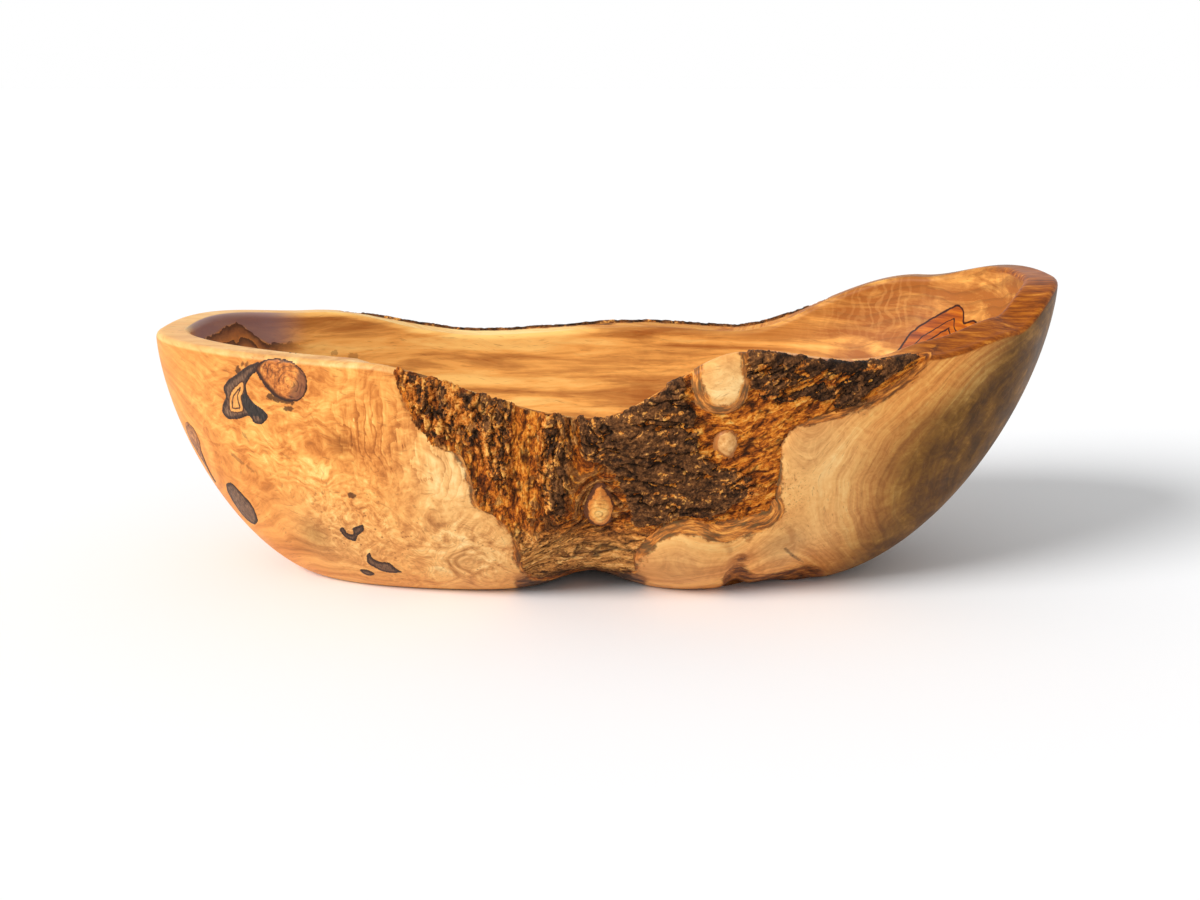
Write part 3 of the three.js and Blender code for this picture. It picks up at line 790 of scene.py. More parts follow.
WOOD_MASKS = ("burl", "quilt", "plume", "calm", "pale", "bright", "brown", "inside", "shade", "speckle",
              "rim_red", "ripple", "stain", "foot", "boss", "sway")
BROAD_BURL = (-96.0, -66.0)             # the burl's swirls grow broad between these places along
CURLED_FROM, CURLED_FULL = 30.0, 60.0   # faint curl in the wood right of the bark
WEDGE_LINES = [(0.0, 0.62), (-5.0, 0.4), (-8.0, 0.48)]      # depth in the wedge and half-width
EAR_LINES = [(0.0, 0.5), (-1.8, 0.5)]   # the same in the ear's amber wood
SWIRL_BAND = 6.5                        # width of a band of the wavy figure


def burl_marks(tree, place, burl):
    """Curling threads and bird's-eye dots of the burl, as one dark mask."""
    swell = mottle(tree, place, 19, 2.5, 0.5, 1.4)
    turn = calc(tree, "FRACT", times(tree, swell, 13.0))
    crowd = mottle(tree, place, 9, 3.0, 0.6)
    thread = ramped(tree, calc(tree, "ABSOLUTE", swung(tree, turn, 1.0)), 0.75, 0.0)
    curl = times(tree, thread, ramped(tree, crowd, 0.62, 0.4), 0.36)
    eyes = add(tree, "ShaderNodeTexVoronoi", {"Vector": place, "Scale": 1 / 1.9}).outputs["Distance"]
    dots = times(tree, ramped(tree, eyes, 0.36, 0.14), ramped(tree, crowd, 0.52, 0.62))
    return times(tree, burl, calc(tree, "MAXIMUM", dots, curl))


def burl_figure(tree, place, curl):
    """Knurled figure, in broader swirls towards the waist."""
    swirl = mottle(tree, place, 17, 5.0, 0.6, 3.2)
    broad = ramped(tree, split(tree, place)[0], *BROAD_BURL)
    return mixed_value(tree, broad, swung(tree, curl, 0.75), swung(tree, swirl, 0.95))


def plume_figure(tree, place, bent):
    """Upright feathers of grain with darker lines between them."""
    plume = streaked(tree, place, (0.42, 0.42, 0.045), 4.0, 0.62, 0.4)
    sheaf = total(tree, times(tree, split(tree, bent)[0], 0.2), times(tree, plume, 0.9))
    line = ramped(tree, calc(tree, "FRACT", sheaf), 0.6, 1.0)
    return total(tree, swung(tree, plume, 0.7), times(tree, line, -0.3))


def straight_grain(tree, grain, masks):
    """Grain along the log, where nothing disturbs it."""
    upset = calc(tree, "MAXIMUM", times(tree, masks["quilt"], 0.9), times(tree, masks["burl"], 0.7))
    calm = calc(tree, "MAXIMUM", masks["calm"], times(tree, masks["brown"], 0.55))
    along = total(tree, swung(tree, grain["Fine"], 0.55), swung(tree, grain["Broad"], 0.34))
    return times(tree, along, inverse(tree, calc(tree, "MAXIMUM", upset, calm)))


def wood_depth(tree, place, grain, masks):
    """How dark or light the figure is: straight grain, and the other figure by its masks."""
    bent = drifted(tree, place, 18, 2.0, 26.0)
    glow = mottle(tree, place, 26, twist=0.6)
    fleck = streaked(tree, bent, (0.17, 0.17, 0.36), 5.0, 0.64)
    quilt = total(tree, swung(tree, glow, 0.5), swung(tree, fleck, 0.62))
    smoke = swung(tree, mottle(tree, bent, 13, 4.0, 0.6), 0.5)
    # Inside the hollow the brown mask darkens the honey wood, partly as painted shade
    cloud = total(tree, smoke, times(tree, masks["inside"], -0.34))
    streak = streaked(tree, place, (0.014, 0.04, 0.13), 5.0, 0.62, 0.5)
    curl = mottle(tree, place, 6, 5.0, 0.66, 2.0)
    curled = ramped(tree, split(tree, place)[0], CURLED_FROM, CURLED_FULL)
    return total(
        tree, 0.5, straight_grain(tree, grain, masks),
        times(tree, masks["quilt"], quilt, inverse(tree, times(tree, masks["plume"], 0.6))),
        times(tree, masks["brown"], cloud), masks["bright"],
        times(tree, masks["plume"], plume_figure(tree, place, bent)),
        times(tree, masks["inside"], swung(tree, streak, 1.1)),
        times(tree, inverse(tree, masks["inside"]), curled, swung(tree, curl, 0.24)),
        times(tree, masks["burl"], burl_figure(tree, place, curl)))


def wood_colour(tree, place, grain, masks):
    """Olive-wood colour from its figure, then the log's own regions over it."""
    depth = wood_depth(tree, place, grain, masks)
    gold, pale, brown, honey = (coloured(tree, depth, stops)
                                for stops in (GOLD_WOOD, PALE_WOOD, BROWN_WOOD, HONEY_WOOD))
    colour = mixed(tree, masks["pale"], gold, pale)
    colour = mixed(tree, masks["inside"], colour, honey)
    colour = mixed(tree, times(tree, masks["brown"], inverse(tree, masks["inside"])), colour, brown)
    strength = total(tree, 0.06, times(tree, masks["brown"], 0.22))
    colour = painted(tree, colour, RING_LINE, grain["Line"], strength, inverse(tree, masks["quilt"]))
    colour = painted(tree, colour, PORE, grain["Pore"], 0.38)
    return painted(tree, colour, BURL_MARK, burl_marks(tree, place, masks["burl"]), 0.75)


def stroke(tree, place, start, end):
    """Distance from a short straight mark in the wood."""
    along = np.subtract(end, start)
    away = vector_calc(tree, "SUBTRACT", place, tuple(float(v) for v in start))
    share = vector_calc(tree, "DOT_PRODUCT", away, tuple(along / max(along @ along, 1e-6)))
    nearest = scaled(tree, tuple(along), calc(tree, "MULTIPLY", share, 1.0, clamp=True))
    return vector_calc(tree, "LENGTH", vector_calc(tree, "SUBTRACT", away, nearest))


def marked(tree, place, colour):
    """Pin knots, flecks and cracks: the few single marks that the eye picks out."""
    ragged = swung(tree, mottle(tree, place, 1.3, 3.0, 0.7), 1.0)
    for start, end, width, strength in MARKS:
        away = total(tree, stroke(tree, place, start, end), times(tree, ragged, width))
        colour = painted(tree, colour, SINGLE_MARK, ramped(tree, away, width, width - 0.7), strength)
    return colour


def bark_rust_and_shadow(tree, place, edge, colour):
    """Wood turned rusty in a thin broken line where it meets the bark, in bands along it; where the line is
    widened above the bosses it is partly painted shade under the bark's edge.
    """
    flick = mottle(tree, place, 4, 5.0, 0.68)
    sway = mottle(tree, place, 16, 1.0)
    reach = total(tree, edge, swung(tree, flick, 3.0), swung(tree, sway, 4.0))
    x, _, z = split(tree, place)
    banded = joined(tree, times(tree, edge, 0.7), times(tree, x, 0.13), times(tree, z, 0.13))
    rust = coloured(tree, mottle(tree, banded, 1.0, 4.0, 0.68), RUSTY_WOOD)
    return mixed(tree, times(tree, ramped(tree, reach, 1.3, -0.2), 0.85), colour, rust)


def stained_and_shaded(tree, place, masks, colour):
    """Reddish-brown weathered wood low on the front, darkened as painted shade in its creases and under the
    waist, the lines round the bosses, and a painted shadow under the waist's arch.
    """
    rough = streaked(tree, place, (0.16, 0.3, 0.5), 4.0, 0.7)
    reach = ramped(tree, total(tree, masks["stain"], swung(tree, rough, 0.6)), 0.35, 0.6)
    colour = mixed(tree, reach, colour, coloured(tree, rough, STAIN_AND_SHADE_WOOD))
    away = calc(tree, "ABSOLUTE", total(tree, masks["boss"], swung(tree, rough, 1.6)))
    broken = ramped(tree, mottle(tree, place, 7), 0.4, 0.6)
    colour = painted(tree, colour, BOSS_LINE, ramped(tree, away, 2.2, 0.2), broken, 0.5)
    # Painted shadow: near-black brown at the foot of the waist, under its arch
    return mixed(tree, masks["foot"], colour, coloured(tree, rough, WOOD_FOOT_SHADOW))


def wedge_inlay(tree, place, wedge, colour):
    """Orange heartwood wedge inside the high end, with dark outlines."""
    wobble = total(tree, wedge, swung(tree, mottle(tree, place, 4), 0.7))
    flame = streaked(tree, place, (0.05, 0.05, 0.5), 3.0, 0.6)
    colour = mixed(tree, ramped(tree, wobble, 0.3, -0.3), colour, coloured(tree, flame, WEDGE_WOOD))
    for depth, width in WEDGE_LINES:
        line = ramped(tree, away_from(tree, wobble, depth), width, width * 0.4)
        colour = painted(tree, colour, WEDGE_LINE, line)
    return colour


def swirl_inlay(tree, place, swirl, shade, colour):
    """Wavy dark figure inside the low end, with purplish wood above it, darkened as painted shade."""
    colour = painted(tree, colour, PURPLE_WOOD_SHADE, shade, ramped(tree, swirl, -1.0, 1.0), 0.85)
    wave = total(tree, swirl, swung(tree, mottle(tree, place, 7, 4.0, 0.6), 5.0))
    below = times(tree, shade, ramped(tree, wave, 0.4, -0.4), ramped(tree, wave, -22.0, -9.0))
    turn = calc(tree, "FRACT", times(tree, wave, 1 / SWIRL_BAND))
    return mixed(tree, times(tree, below, 0.9), colour, coloured(tree, turn, SWIRL_WOOD))


def rippled(tree, place, ripple, colour):
    """Bright ripples across the grain inside the high end."""
    x, y, _ = split(tree, place)
    slant = total(tree, times(tree, x, 0.76), times(tree, y, -0.65))
    wander = swung(tree, mottle(tree, place, 9), 9.0)
    wave = calc(tree, "SINE", total(tree, times(tree, slant, 1.5), wander))
    return painted(tree, colour, RIPPLE, ripple, ramped(tree, wave, 0.0, 1.0), 0.22)


def olive_wood():
    material, tree, surface = new_material("olive_wood", 0.42, 0.15)
    place = object_mm(tree)
    masks = {name: attribute(tree, name) for name in WOOD_MASKS}
    rings = {"Place": place, "Ring": attribute(tree, "ring"), "Sway": masks["sway"]}
    grain = group_outputs(tree, GRAIN, rings)
    colour = wood_colour(tree, place, grain, masks)
    colour = rippled(tree, place, masks["ripple"], colour)
    fibre = streaked(tree, place, (0.06, 0.5, 0.5), 4.0, 0.7)
    colour = mixed(tree, masks["rim_red"], colour, coloured(tree, fibre, RED_RIM))
    dots = ramped(tree, mottle(tree, place, 0.9, 2.0, 0.6), 0.56, 0.68)
    colour = painted(tree, colour, DOT, masks["speckle"], dots, 0.8)
    colour = wedge_inlay(tree, place, attribute(tree, "wedge"), colour)
    colour = swirl_inlay(tree, place, attribute(tree, "swirl"), masks["shade"], colour)
    colour = marked(tree, place, stained_and_shaded(tree, place, masks, colour))
    feed(tree, surface["Base Color"], bark_rust_and_shadow(tree, place, attribute(tree, "edge"), colour))
    height = calc(tree, "SUBTRACT", grain["Fine"], times(tree, grain["Pore"], 0.5))
    sanded(tree, surface, place, 0.46, height, 0.2, 0.25)
    return material


# Finishes: bark

STRING_STRETCHES = [(1.4, 0.2), (0.42, 0.07), (0.2, 0.09)]      # across and along: threads, flow and patches
PLATE_STRETCHES = [(0.9, 0.3), (0.15, 0.08)]    # threads and patches


def inner_bark():
    """Fibrous layer under the bark: orange and amber strings with crusts left on it, browner in the waist,
    and a painted shadow at the foot of the waist.
    """
    material, tree, surface = new_material("inner_bark", 0.7, 0.12)
    place = object_mm(tree)
    strand, flow, patch = (strands(tree, place, *stretch) for stretch in STRING_STRETCHES)
    chip, edge = attribute(tree, "chip"), attribute(tree, "edge")
    grit = group_outputs(tree, CRUMBLE, {"Place": place, "Size": 1.1})
    value = total(tree, 0.52, swung(tree, strand, 0.5), swung(tree, flow, 0.6), swung(tree, chip, 0.12),
                  swung(tree, grit["Height"], 0.45), times(tree, attribute(tree, "relief"), 0.14))
    amber, dull, crust = (coloured(tree, value, stops)
                          for stops in (AMBER_STRINGS, DULL_STRINGS, STRING_CRUST))
    colour = mixed(tree, times(tree, attribute(tree, "dull"), 0.8), amber, dull)
    left_on = total(tree, patch, swung(tree, grit["Height"], 0.2), swung(tree, chip, 0.1),
                    attribute(tree, "crust"))
    left_on = ramped(tree, left_on, 0.5, 0.57)
    colour = mixed(tree, times(tree, left_on, 0.92), colour, crust)
    lip = times(tree, attribute(tree, "lip"), ramped(tree, edge, -5.0, -3.5))
    colour = mixed(tree, lip, colour, coloured(tree, strand, BRIGHT_LIP))
    border = ramped(tree, total(tree, edge, swung(tree, strand, 1.2)), -1.5, -0.3)
    colour = painted(tree, colour, STRING_BORDER, border, 0.75)
    colour = painted(tree, colour, STRING_CRACK, attribute(tree, "crack"), 0.85)
    colour = painted(tree, colour, STRING_PIT, grit["Pit"], 0.4)
    # The foot layer paints a shadow at the foot of the waist
    feed(tree, surface["Base Color"], painted(tree, colour, STRING_FOOT_SHADOW, attribute(tree, "foot")))
    height = total(tree, strand, times(tree, grit["Height"], 0.8), times(tree, left_on, 0.6))
    feed(tree, surface["Normal"], bumped(tree, height, 0.9, 0.9))
    return material


def outer_bark():
    """Dark weathered bark: brown chips, black cracks, rust and amber where layers have come away, and pale
    flecks that are partly painted glints.
    """
    material, tree, surface = new_material("outer_bark", 0.7, 0.12)
    place = object_mm(tree)
    relief, edge, chip = (attribute(tree, name) for name in ("relief", "edge", "chip"))
    grit = group_outputs(tree, CRUMBLE, {"Place": place, "Size": 0.9})
    strand, patch = (strands(tree, place, *stretch) for stretch in PLATE_STRETCHES)
    value = total(tree, 0.46, swung(tree, grit["Height"], 0.8), swung(tree, strand, 0.4),
                  swung(tree, chip, 0.16), swung(tree, patch, 0.35), times(tree, relief, 0.1),
                  attribute(tree, "light"))
    bare = total(tree, patch, swung(tree, grit["Height"], 0.25), swung(tree, chip, 0.1),
                 attribute(tree, "amber"))
    worn = calc(tree, "MAXIMUM", ramped(tree, bare, 0.57, 0.62), ramped(tree, edge, -1.2, 0.2))
    fringe = times(tree, ramped(tree, edge, -2.8, -1.2), attribute(tree, "fringe"))
    worn = calc(tree, "MAXIMUM", worn, fringe)
    crust, rust = (coloured(tree, value, stops) for stops in (PLATE_CRUST, PLATE_RUST))
    colour = mixed(tree, times(tree, worn, 0.88), crust, rust)
    colour = painted(tree, colour, PLATE_CRACK, attribute(tree, "crack"), 0.9)
    colour = painted(tree, colour, PLATE_PIT, grit["Pit"], 0.5)
    # Pale flecks, partly painted glints
    feed(tree, surface["Base Color"], painted(tree, colour, PLATE_FLECK_GLINT, grit["Fleck"], 0.26))
    feed(tree, surface["Roughness"], ramped(tree, grit["Height"], 0.35, 0.65, 0.85, 0.45))
    height = total(tree, grit["Height"], times(tree, strand, 0.5))
    feed(tree, surface["Normal"], bumped(tree, height, 0.9, 0.9))
    return material


# Finishes: knots and ingrown bark

def broken_rings(tree, place, away, spacing):
    """Dark rings round a knot's heart, missing here and there."""
    turn = calc(tree, "FRACT", times(tree, away, 1 / spacing))
    ring = times(tree, ramped(tree, turn, 0.45, 0.9), ramped(tree, turn, 1.0, 0.93))
    return times(tree, ring, ramped(tree, mottle(tree, place, 5), 0.35, 0.6))


def ringed_knot(name, heart, spacing, lines, tones, rim, rim_width, shade=None, glow=None):
    """Knot end grain: uneven rings, a darker side, and a band of bark, widest low on the left."""
    material, tree, surface = new_material(name, 0.42, 0.22)
    place = object_mm(tree)
    spot = drifted(tree, place, 4, 3.0, 2.6, attribute(tree, "spot", "Vector"))
    x, y, _ = split(tree, spot)
    away = vector_calc(tree, "LENGTH", vector_calc(tree, "SUBTRACT", spot, (*heart, 0.0)))
    ring = broken_rings(tree, place, away, spacing)
    blotch = mottle(tree, place, 2.2, 4.0, 0.7)
    value = total(tree, 0.44, swung(tree, blotch, 0.8), times(tree, ramped(tree, away, 7.0, 0.0), 0.2))
    colour = coloured(tree, value, tones)
    # A darker side: the round knot's own darker wood, and on the bud a painted shade on its lower right
    if shade:
        start, *dark = shade
        side = total(tree, x, times(tree, y, -0.5))
        colour = painted(tree, colour, dark, ramped(tree, side, start, start + 2.5), 0.8)
    band = total(tree, attribute(tree, "edge"), swung(tree, blotch, 1.2))
    if glow:
        colour = painted(tree, colour, glow, ramped(tree, band, -2.6, -1.0), 0.8)
    colour = painted(tree, colour, rim, ring, lines)
    reach = times(tree, ramped(tree, total(tree, x, y), 2.0, -10.0, 0.6, 1.7), rim_width)
    share = calc(tree, "DIVIDE", total(tree, band, reach), reach)
    colour = painted(tree, colour, rim, ramped(tree, share, 0.0, 0.6))
    grain = group_outputs(tree, GRAIN, {"Place": place, "Ring": away, "Sway": 2.0})
    feed(tree, surface["Base Color"], painted(tree, colour, rim, grain["Pore"], 0.4))
    sanded(tree, surface, place, 0.44, calc(tree, "SUBTRACT", blotch, ring), 0.3, 0.3)
    return material


def ear_inlay(tree, streak, wobble, colour):
    """Amber wood and a black core inside the loop of ingrown bark."""
    amber = total(tree, attribute(tree, "amber"), wobble)
    colour = mixed(tree, ramped(tree, amber, 0.5, -0.5), colour, coloured(tree, streak, EAR_WOOD))
    for depth, width in EAR_LINES:
        colour = painted(tree, colour, EAR_LINE, ramped(tree, away_from(tree, amber, depth), width, 0.1))
    black = ramped(tree, total(tree, attribute(tree, "black"), wobble), 0.4, -0.3)
    return mixed(tree, black, colour, coloured(tree, streak, EAR_DARK))


def pocket_bark(name, ear):
    """Ingrown bark: dark at its edge, grey-brown grain within; the ear also holds amber wood."""
    material, tree, surface = new_material(name, 0.5, 0.3)
    place = object_mm(tree)
    grit = group_outputs(tree, CRUMBLE, {"Place": place, "Size": 1.2})
    streak = streaked(tree, attribute(tree, "spot", "Vector"), (1.2, 0.35, 1.0), 3.0, 0.65)
    wobble = swung(tree, streak, 0.7)
    inner = ramped(tree, total(tree, attribute(tree, "edge"), wobble), -0.7, -2.2)
    value = total(tree, 0.26, swung(tree, streak, 0.5), swung(tree, grit["Height"], 0.4),
                  times(tree, inner, 0.3))
    colour = coloured(tree, value, POCKET_BROWN)
    if ear:
        colour = ear_inlay(tree, streak, wobble, colour)
    feed(tree, surface["Base Color"], colour)
    sanded(tree, surface, place, 0.5, total(tree, streak, grit["Height"]), 0.5, 0.5)
    return material


# Bowl

BODY_COLUMNS, BODY_COURSES, HOLLOW_COURSES, CAP_ROWS = 540, 84, 60, 8
ROUNDED_ROWS = 4                        # first rows of the hollow, which still belong to the rim
BARK_WRAP, REAR_WRAP = 4.0, 6.0         # how far bark reaches in over the rim
BARK_BED = 1.7                          # how far the wood dips under the bark
BED_START, BED_FULL = 1.0, -4.0         # distances to the bark's outline where the dip starts and is full
FURROWS = [(55, 4.5, 2.6), (86, 5, 1.6)]            # creases low on the front: along, spread and depth
FURROW_TOP, FURROW_FULL = 30, 4
LOW_FRONT_FROM, LOW_FRONT_FULL = -10, -20           # across, the same for what is near the foot
FAR, EDGE_DEEP, WEDGE_DEEP, BOSS_REACH = 60.0, -20.0, -30.0, 30.0       # limits of the distances kept

# Regions of the log, with painted shade and light in the hollow: middle (along, across, up), reach and
# strength
REGIONS = {
    # brown spots with a positive across lie inside the hollow: partly brown wood, partly painted shade on its
    # right end and low wall
    "brown": [(112, 60, 96, 34, 0.4), (152, 36, 98, 40, 0.9), (166, 0, 102, 38, 1.0), (30, 66, 72, 40, 0.35),
              (-40, 50, 40, 30, 0.3), (40, 40, 40, 40, 0.3), (-118, -48, 26, 7, 0.5), (-102, -67, 69, 6, 0.3),
              (69, -62, 26, 10, 0.16)],
    "pale": [(82, -74, 66, 24, 0.9), (88, -58, 28, 24, 0.7), (-58, -76, 62, 17, 1.0), (46, -83, 97, 12, 1.2),
             (30, -60, 18, 22, 0.95), (70, -60, 24, 12, 0.6), (-55, -62, 24, 30, 1.0),
             (-110, -50, 22, 24, 0.8)],
    # bright spots with a positive across are centred inside the hollow: painted light on its back wall, left
    # of the middle
    "bright": [(46, -83, 97, 12, 0.2), (-58, -76, 62, 16, 0.16), (-40, 70, 88, 46, 0.16),
               (-90, 66, 92, 30, 0.08)],
    "quilt": [(-105, -66, 75, 40, 1.0), (-145, -45, 70, 34, 0.7), (-70, -75, 68, 24, 0.6),
              (46, -84, 98, 12, 0.9)],
    "plume": [(-90, -70, 76, 17, 1.0), (-60, -76, 62, 15, 0.9)],
    "burl": [(-75, -62, 22, 28, 1.0), (-104, -58, 34, 20, 0.9), (-48, -66, 22, 18, 0.9),
             (31, -60, 18, 18, 0.3)],
    "speckle": [(72, -73, 52, 9, 0.8), (70, -70, 40, 7, 0.7), (-40, -70, 42, 6, 0.6), (46, -84, 97, 8, 0.3)],
    # stain spots follow the creases beside the bosses: reddish stain, darkest there as painted shade
    "stain": [(55, -55, 10, 6, 0.9), (56, -60, 19, 4, 0.7), (58, -64, 30, 4, 0.5), (82, -52, 12, 6, 0.7)],
    "ripple": [(134, 57, 103, 14, 1.0), (112, 66, 100, 16, 0.5)],
}

# Growth rings: level round a heart that drifts down the log, in arcs on the high end, in layers in the hollow
LOG_HEART, HEART_DRIFT = (137.0, -58.0, 76.0), (0.16, -0.05)
ARC_MIDDLE, ARC_BEND, ARC_CLOSENESS, ARC_OFFSET = 47.0, 75.0, 0.8, 120.0
ARC_START, ARC_FULL = 48, 84
HOLLOW_LAYERS = (0.04, 0.25, 0.9)       # rings met for each step along, across and up

# Brown heart of the high end (up, and where it starts along), and the bosses low on the front
BROWN_LINE = [(0, 88), (35, 105), (60, 106), (78, 118), (92, 141), (115, 163)]
BOSSES = [((32, 18.5), (20, 16.5)), ((67.5, 25), (8.5, 13))]    # middle and half-widths, along and up

# Figure inside the ends: the orange wedge (along the wall, up) and the wavy line (across, up)
WEDGE_TURN, WEDGE_START = (137, 50, 0.757, 0.653), 110
WEDGE = [(0, 84), (3.8, 92), (12.6, 99), (19.7, 104), (23.9, 106), (27.4, 104), (29.4, 99), (34.9, 101),
         (38, 99), (36, 78), (10, 72), (-4, 76)]
SWIRL_LINE = [(26, 95), (35, 97), (41, 97.5), (44, 95), (46, 91), (50, 86)]


def axes(points):
    return np.moveaxis(points, -1, 0)


def window(value, start, full, fade, end):
    """Soft mask that rises from start to full and falls from fade to end."""
    return smooth(start, full, value) * smooth(end, fade, value)


def spotted(points, spots):
    """Soft mask, one round spot after another, each with its middle, reach and strength."""
    mask = np.zeros(points.shape[:-1])
    for *middle, reach, strength in spots:
        mask += strength * np.exp(-np.sum((points - middle) ** 2, -1) / reach ** 2)
    return mask


def low_patch(points, top, full, *along):
    """Soft patch low on the front, over a window along."""
    x, y, z = axes(points)
    return smooth(top, full, z) * window(x, *along) * smooth(LOW_FRONT_FROM, LOW_FRONT_FULL, y)


def side_distance(points, outline, front, over_rim):
    """Distance to a bark outline on one long side, ending a little way in over the rim."""
    wrap = BARK_WRAP if front else REAR_WRAP
    flat = points.reshape(-1, 3)
    distance = outline_distance(flat[:, [0, 2]], closed_spline(outline)).reshape(points.shape[:-1])
    distance = np.maximum(distance, over_rim - wrap)
    return np.where((points[..., 1] < 0) == front, distance, FAR)


def row_lengths(grid, start):
    """Distance along each column from row start onwards, nought before it."""
    steps = np.linalg.norm(np.diff(grid, axis=1), axis=-1)
    steps[:, :start] = 0
    return np.concatenate([np.zeros((len(grid), 1)), np.cumsum(steps, 1)], 1)


def ring_distance(points, inside):
    """Growth-ring coordinate of every point."""
    x, y, z = axes(points)
    back = LOG_HEART[0] - x
    level = np.hypot(y - LOG_HEART[1] - HEART_DRIFT[0] * back, z - LOG_HEART[2] - HEART_DRIFT[1] * back)
    arcs = ARC_CLOSENESS * ((z - ARC_MIDDLE) ** 2 / ARC_BEND - x) + ARC_OFFSET
    outside = level + (arcs - level) * smooth(ARC_START, ARC_FULL, x)
    return np.where(inside, points @ np.array(HOLLOW_LAYERS), outside)


def boss_distance(points):
    """Distance to the outline of the nearest boss low on the front."""
    best = np.full(points.shape[:-1], BOSS_REACH)
    for (along, up), (wide, tall) in BOSSES:
        share = np.hypot((points[..., 0] - along) / wide, (points[..., 2] - up) / tall)
        best = np.minimum(best, (share - 1) * min(wide, tall))
    return np.where(points[..., 1] < FRONT_FROM, best, BOSS_REACH)


def wedge_distance(points, inside):
    """Distance to the outline of the orange wedge inside the high end."""
    x, y, cosine, sine = WEDGE_TURN
    along = (points[..., 0] - x) * cosine - (points[..., 1] - y) * sine
    flat = np.stack([along, points[..., 2]], -1).reshape(-1, 2)
    distance = outline_distance(flat, closed_spline(WEDGE)).reshape(along.shape)
    reached = inside & (points[..., 0] > WEDGE_START) & (points[..., 1] > 0)
    return np.clip(np.where(reached, distance, FAR), WEDGE_DEEP, FAR)


def rust_and_shade_width(points):
    """How much wider the rusty edge runs right of the waist, low and high; a little thinner left of it. The
    low widening, above the bosses, is partly painted shade under the bark's edge.
    """
    x, _, z = axes(points)
    low = smooth(50, 42, z) * (4.0 * window(x, 12, 20, 64, 74) + 3.0 * window(x, 38, 48, 70, 78))
    high = 2.0 * smooth(76, 84, z) * smooth(28, 32, x)
    return (low + high - smooth(-30, -45, x)) * on_front(points)


def brown_end(points, inside):
    """Brown heart of the high end outside."""
    heights, starts = zip(*BROWN_LINE)
    start = np.interp(points[..., 2], heights, starts)
    return 0.95 * smooth(-16, 22, points[..., 0] - start) * ~inside


def bowl_layers(grid, edge, inside, rim):
    """Everything that the wood's finish reads, for each point of the bowl."""
    x, y, z = axes(grid)
    lines, heights = zip(*SWIRL_LINE)
    low_rim = rim * smooth(20, -40, x)
    spots = {name: np.clip(spotted(grid, places), 0, 1) for name, places in REGIONS.items()}
    # Under the waist this is painted shadow; right of the bosses, stain near the foot
    weathered = 1.2 * low_patch(grid, 13, 7, -40, -31, 12, 22) + low_patch(grid, 13, 5, 46, 53, 86, 100)
    return {
        **spots,
        "brown": np.clip(spots["brown"] + brown_end(grid, inside), 0, 1),
        "pale": np.clip(spots["pale"] + 0.7 * low_rim, 0, 1),
        "bright": spots["bright"] + 0.12 * low_rim,
        "stain": np.clip(spots["stain"] + weathered, 0, 1),
        "ripple": inside * spots["ripple"],
        "edge": np.clip(edge - rust_and_shade_width(grid), EDGE_DEEP, FAR),
        "inside": inside.astype(float),
        "ring": ring_distance(grid, inside),
        "sway": np.where(inside, 7.0, 6.0 + 8.0 * spots["burl"]),
        "boss": boss_distance(grid),
        # the foot mask is a painted shadow under the waist's arch
        "foot": 0.85 * low_patch(grid, 15, 8, -38, -28, 10, 20),
        "calm": np.where(inside, 0.8, 0.2 * smooth(46, 76, x) + 0.5 * smooth(-120, -150, x)),
        "rim_red": rim * smooth(100, 128, x) * smooth(45, 10, y),
        # shade: purplish wood inside the low end, darkened as painted shade
        "shade": inside * smooth(-136, -156, x) * smooth(-10, 10, y),
        "swirl": z - np.interp(y, lines, heights),
        "wedge": wedge_distance(grid, inside),
    }


def bowl_grid():
    """Points from foot to hollow, both floors' middles, and the rows where skin starts and rim ends."""
    angle = np.arange(BODY_COLUMNS) * 2 * math.pi / BODY_COLUMNS
    outer = outer_rows(angle, BODY_COURSES)
    hollow = hollow_rows(angle, HOLLOW_COURSES)
    middles = np.array([(FOOT_SHIFT, 0, 0), (FOOT_SHIFT, 0, FLOOR_THICKNESS)])
    shares = (np.arange(1, CAP_ROWS) / CAP_ROWS)[None, :, None]
    under, floor = (middle + (ring - middle)[:, None] * shares
                    for ring, middle in zip((outer[:, 0], hollow[:, -1]), middles))
    grid = np.concatenate([under, outer, hollow, floor[:, ::-1]], 1)
    return grid, middles, under.shape[1], under.shape[1] + outer.shape[1]


def bowl_faces(columns, rows):
    """Quads round the grid, and two fans that close it on the middles of its floors."""
    ids = np.arange(columns * rows).reshape(columns, rows)
    following = np.roll(ids, -1, axis=0)
    quads = np.stack([ids[:, :-1], following[:, :-1], following[:, 1:], ids[:, 1:]], -1).reshape(-1, 4)
    fans = [(columns * rows, after, at) for at, after in zip(ids[:, 0], following[:, 0])]
    fans += [(columns * rows + 1, at, after) for at, after in zip(ids[:, -1], following[:, -1])]
    return quads.tolist() + fans


def carved(grid, edge, on_skin):
    """The grid with its low furrows and the bed for the bark let into the skin."""
    furrows = sum(depth * bell(grid[..., 0] - along, spread) for along, spread, depth in FURROWS)
    crease = furrows * smooth(FURROW_TOP, FURROW_FULL, grid[..., 2]) * on_front(grid)
    sunk = on_skin * (crease + BARK_BED * smooth(BED_START, BED_FULL, edge))
    moved = grid - grid_normals(grid, True) * sunk[..., None]
    moved[..., 2] = np.maximum(moved[..., 2], 0.0)
    return moved


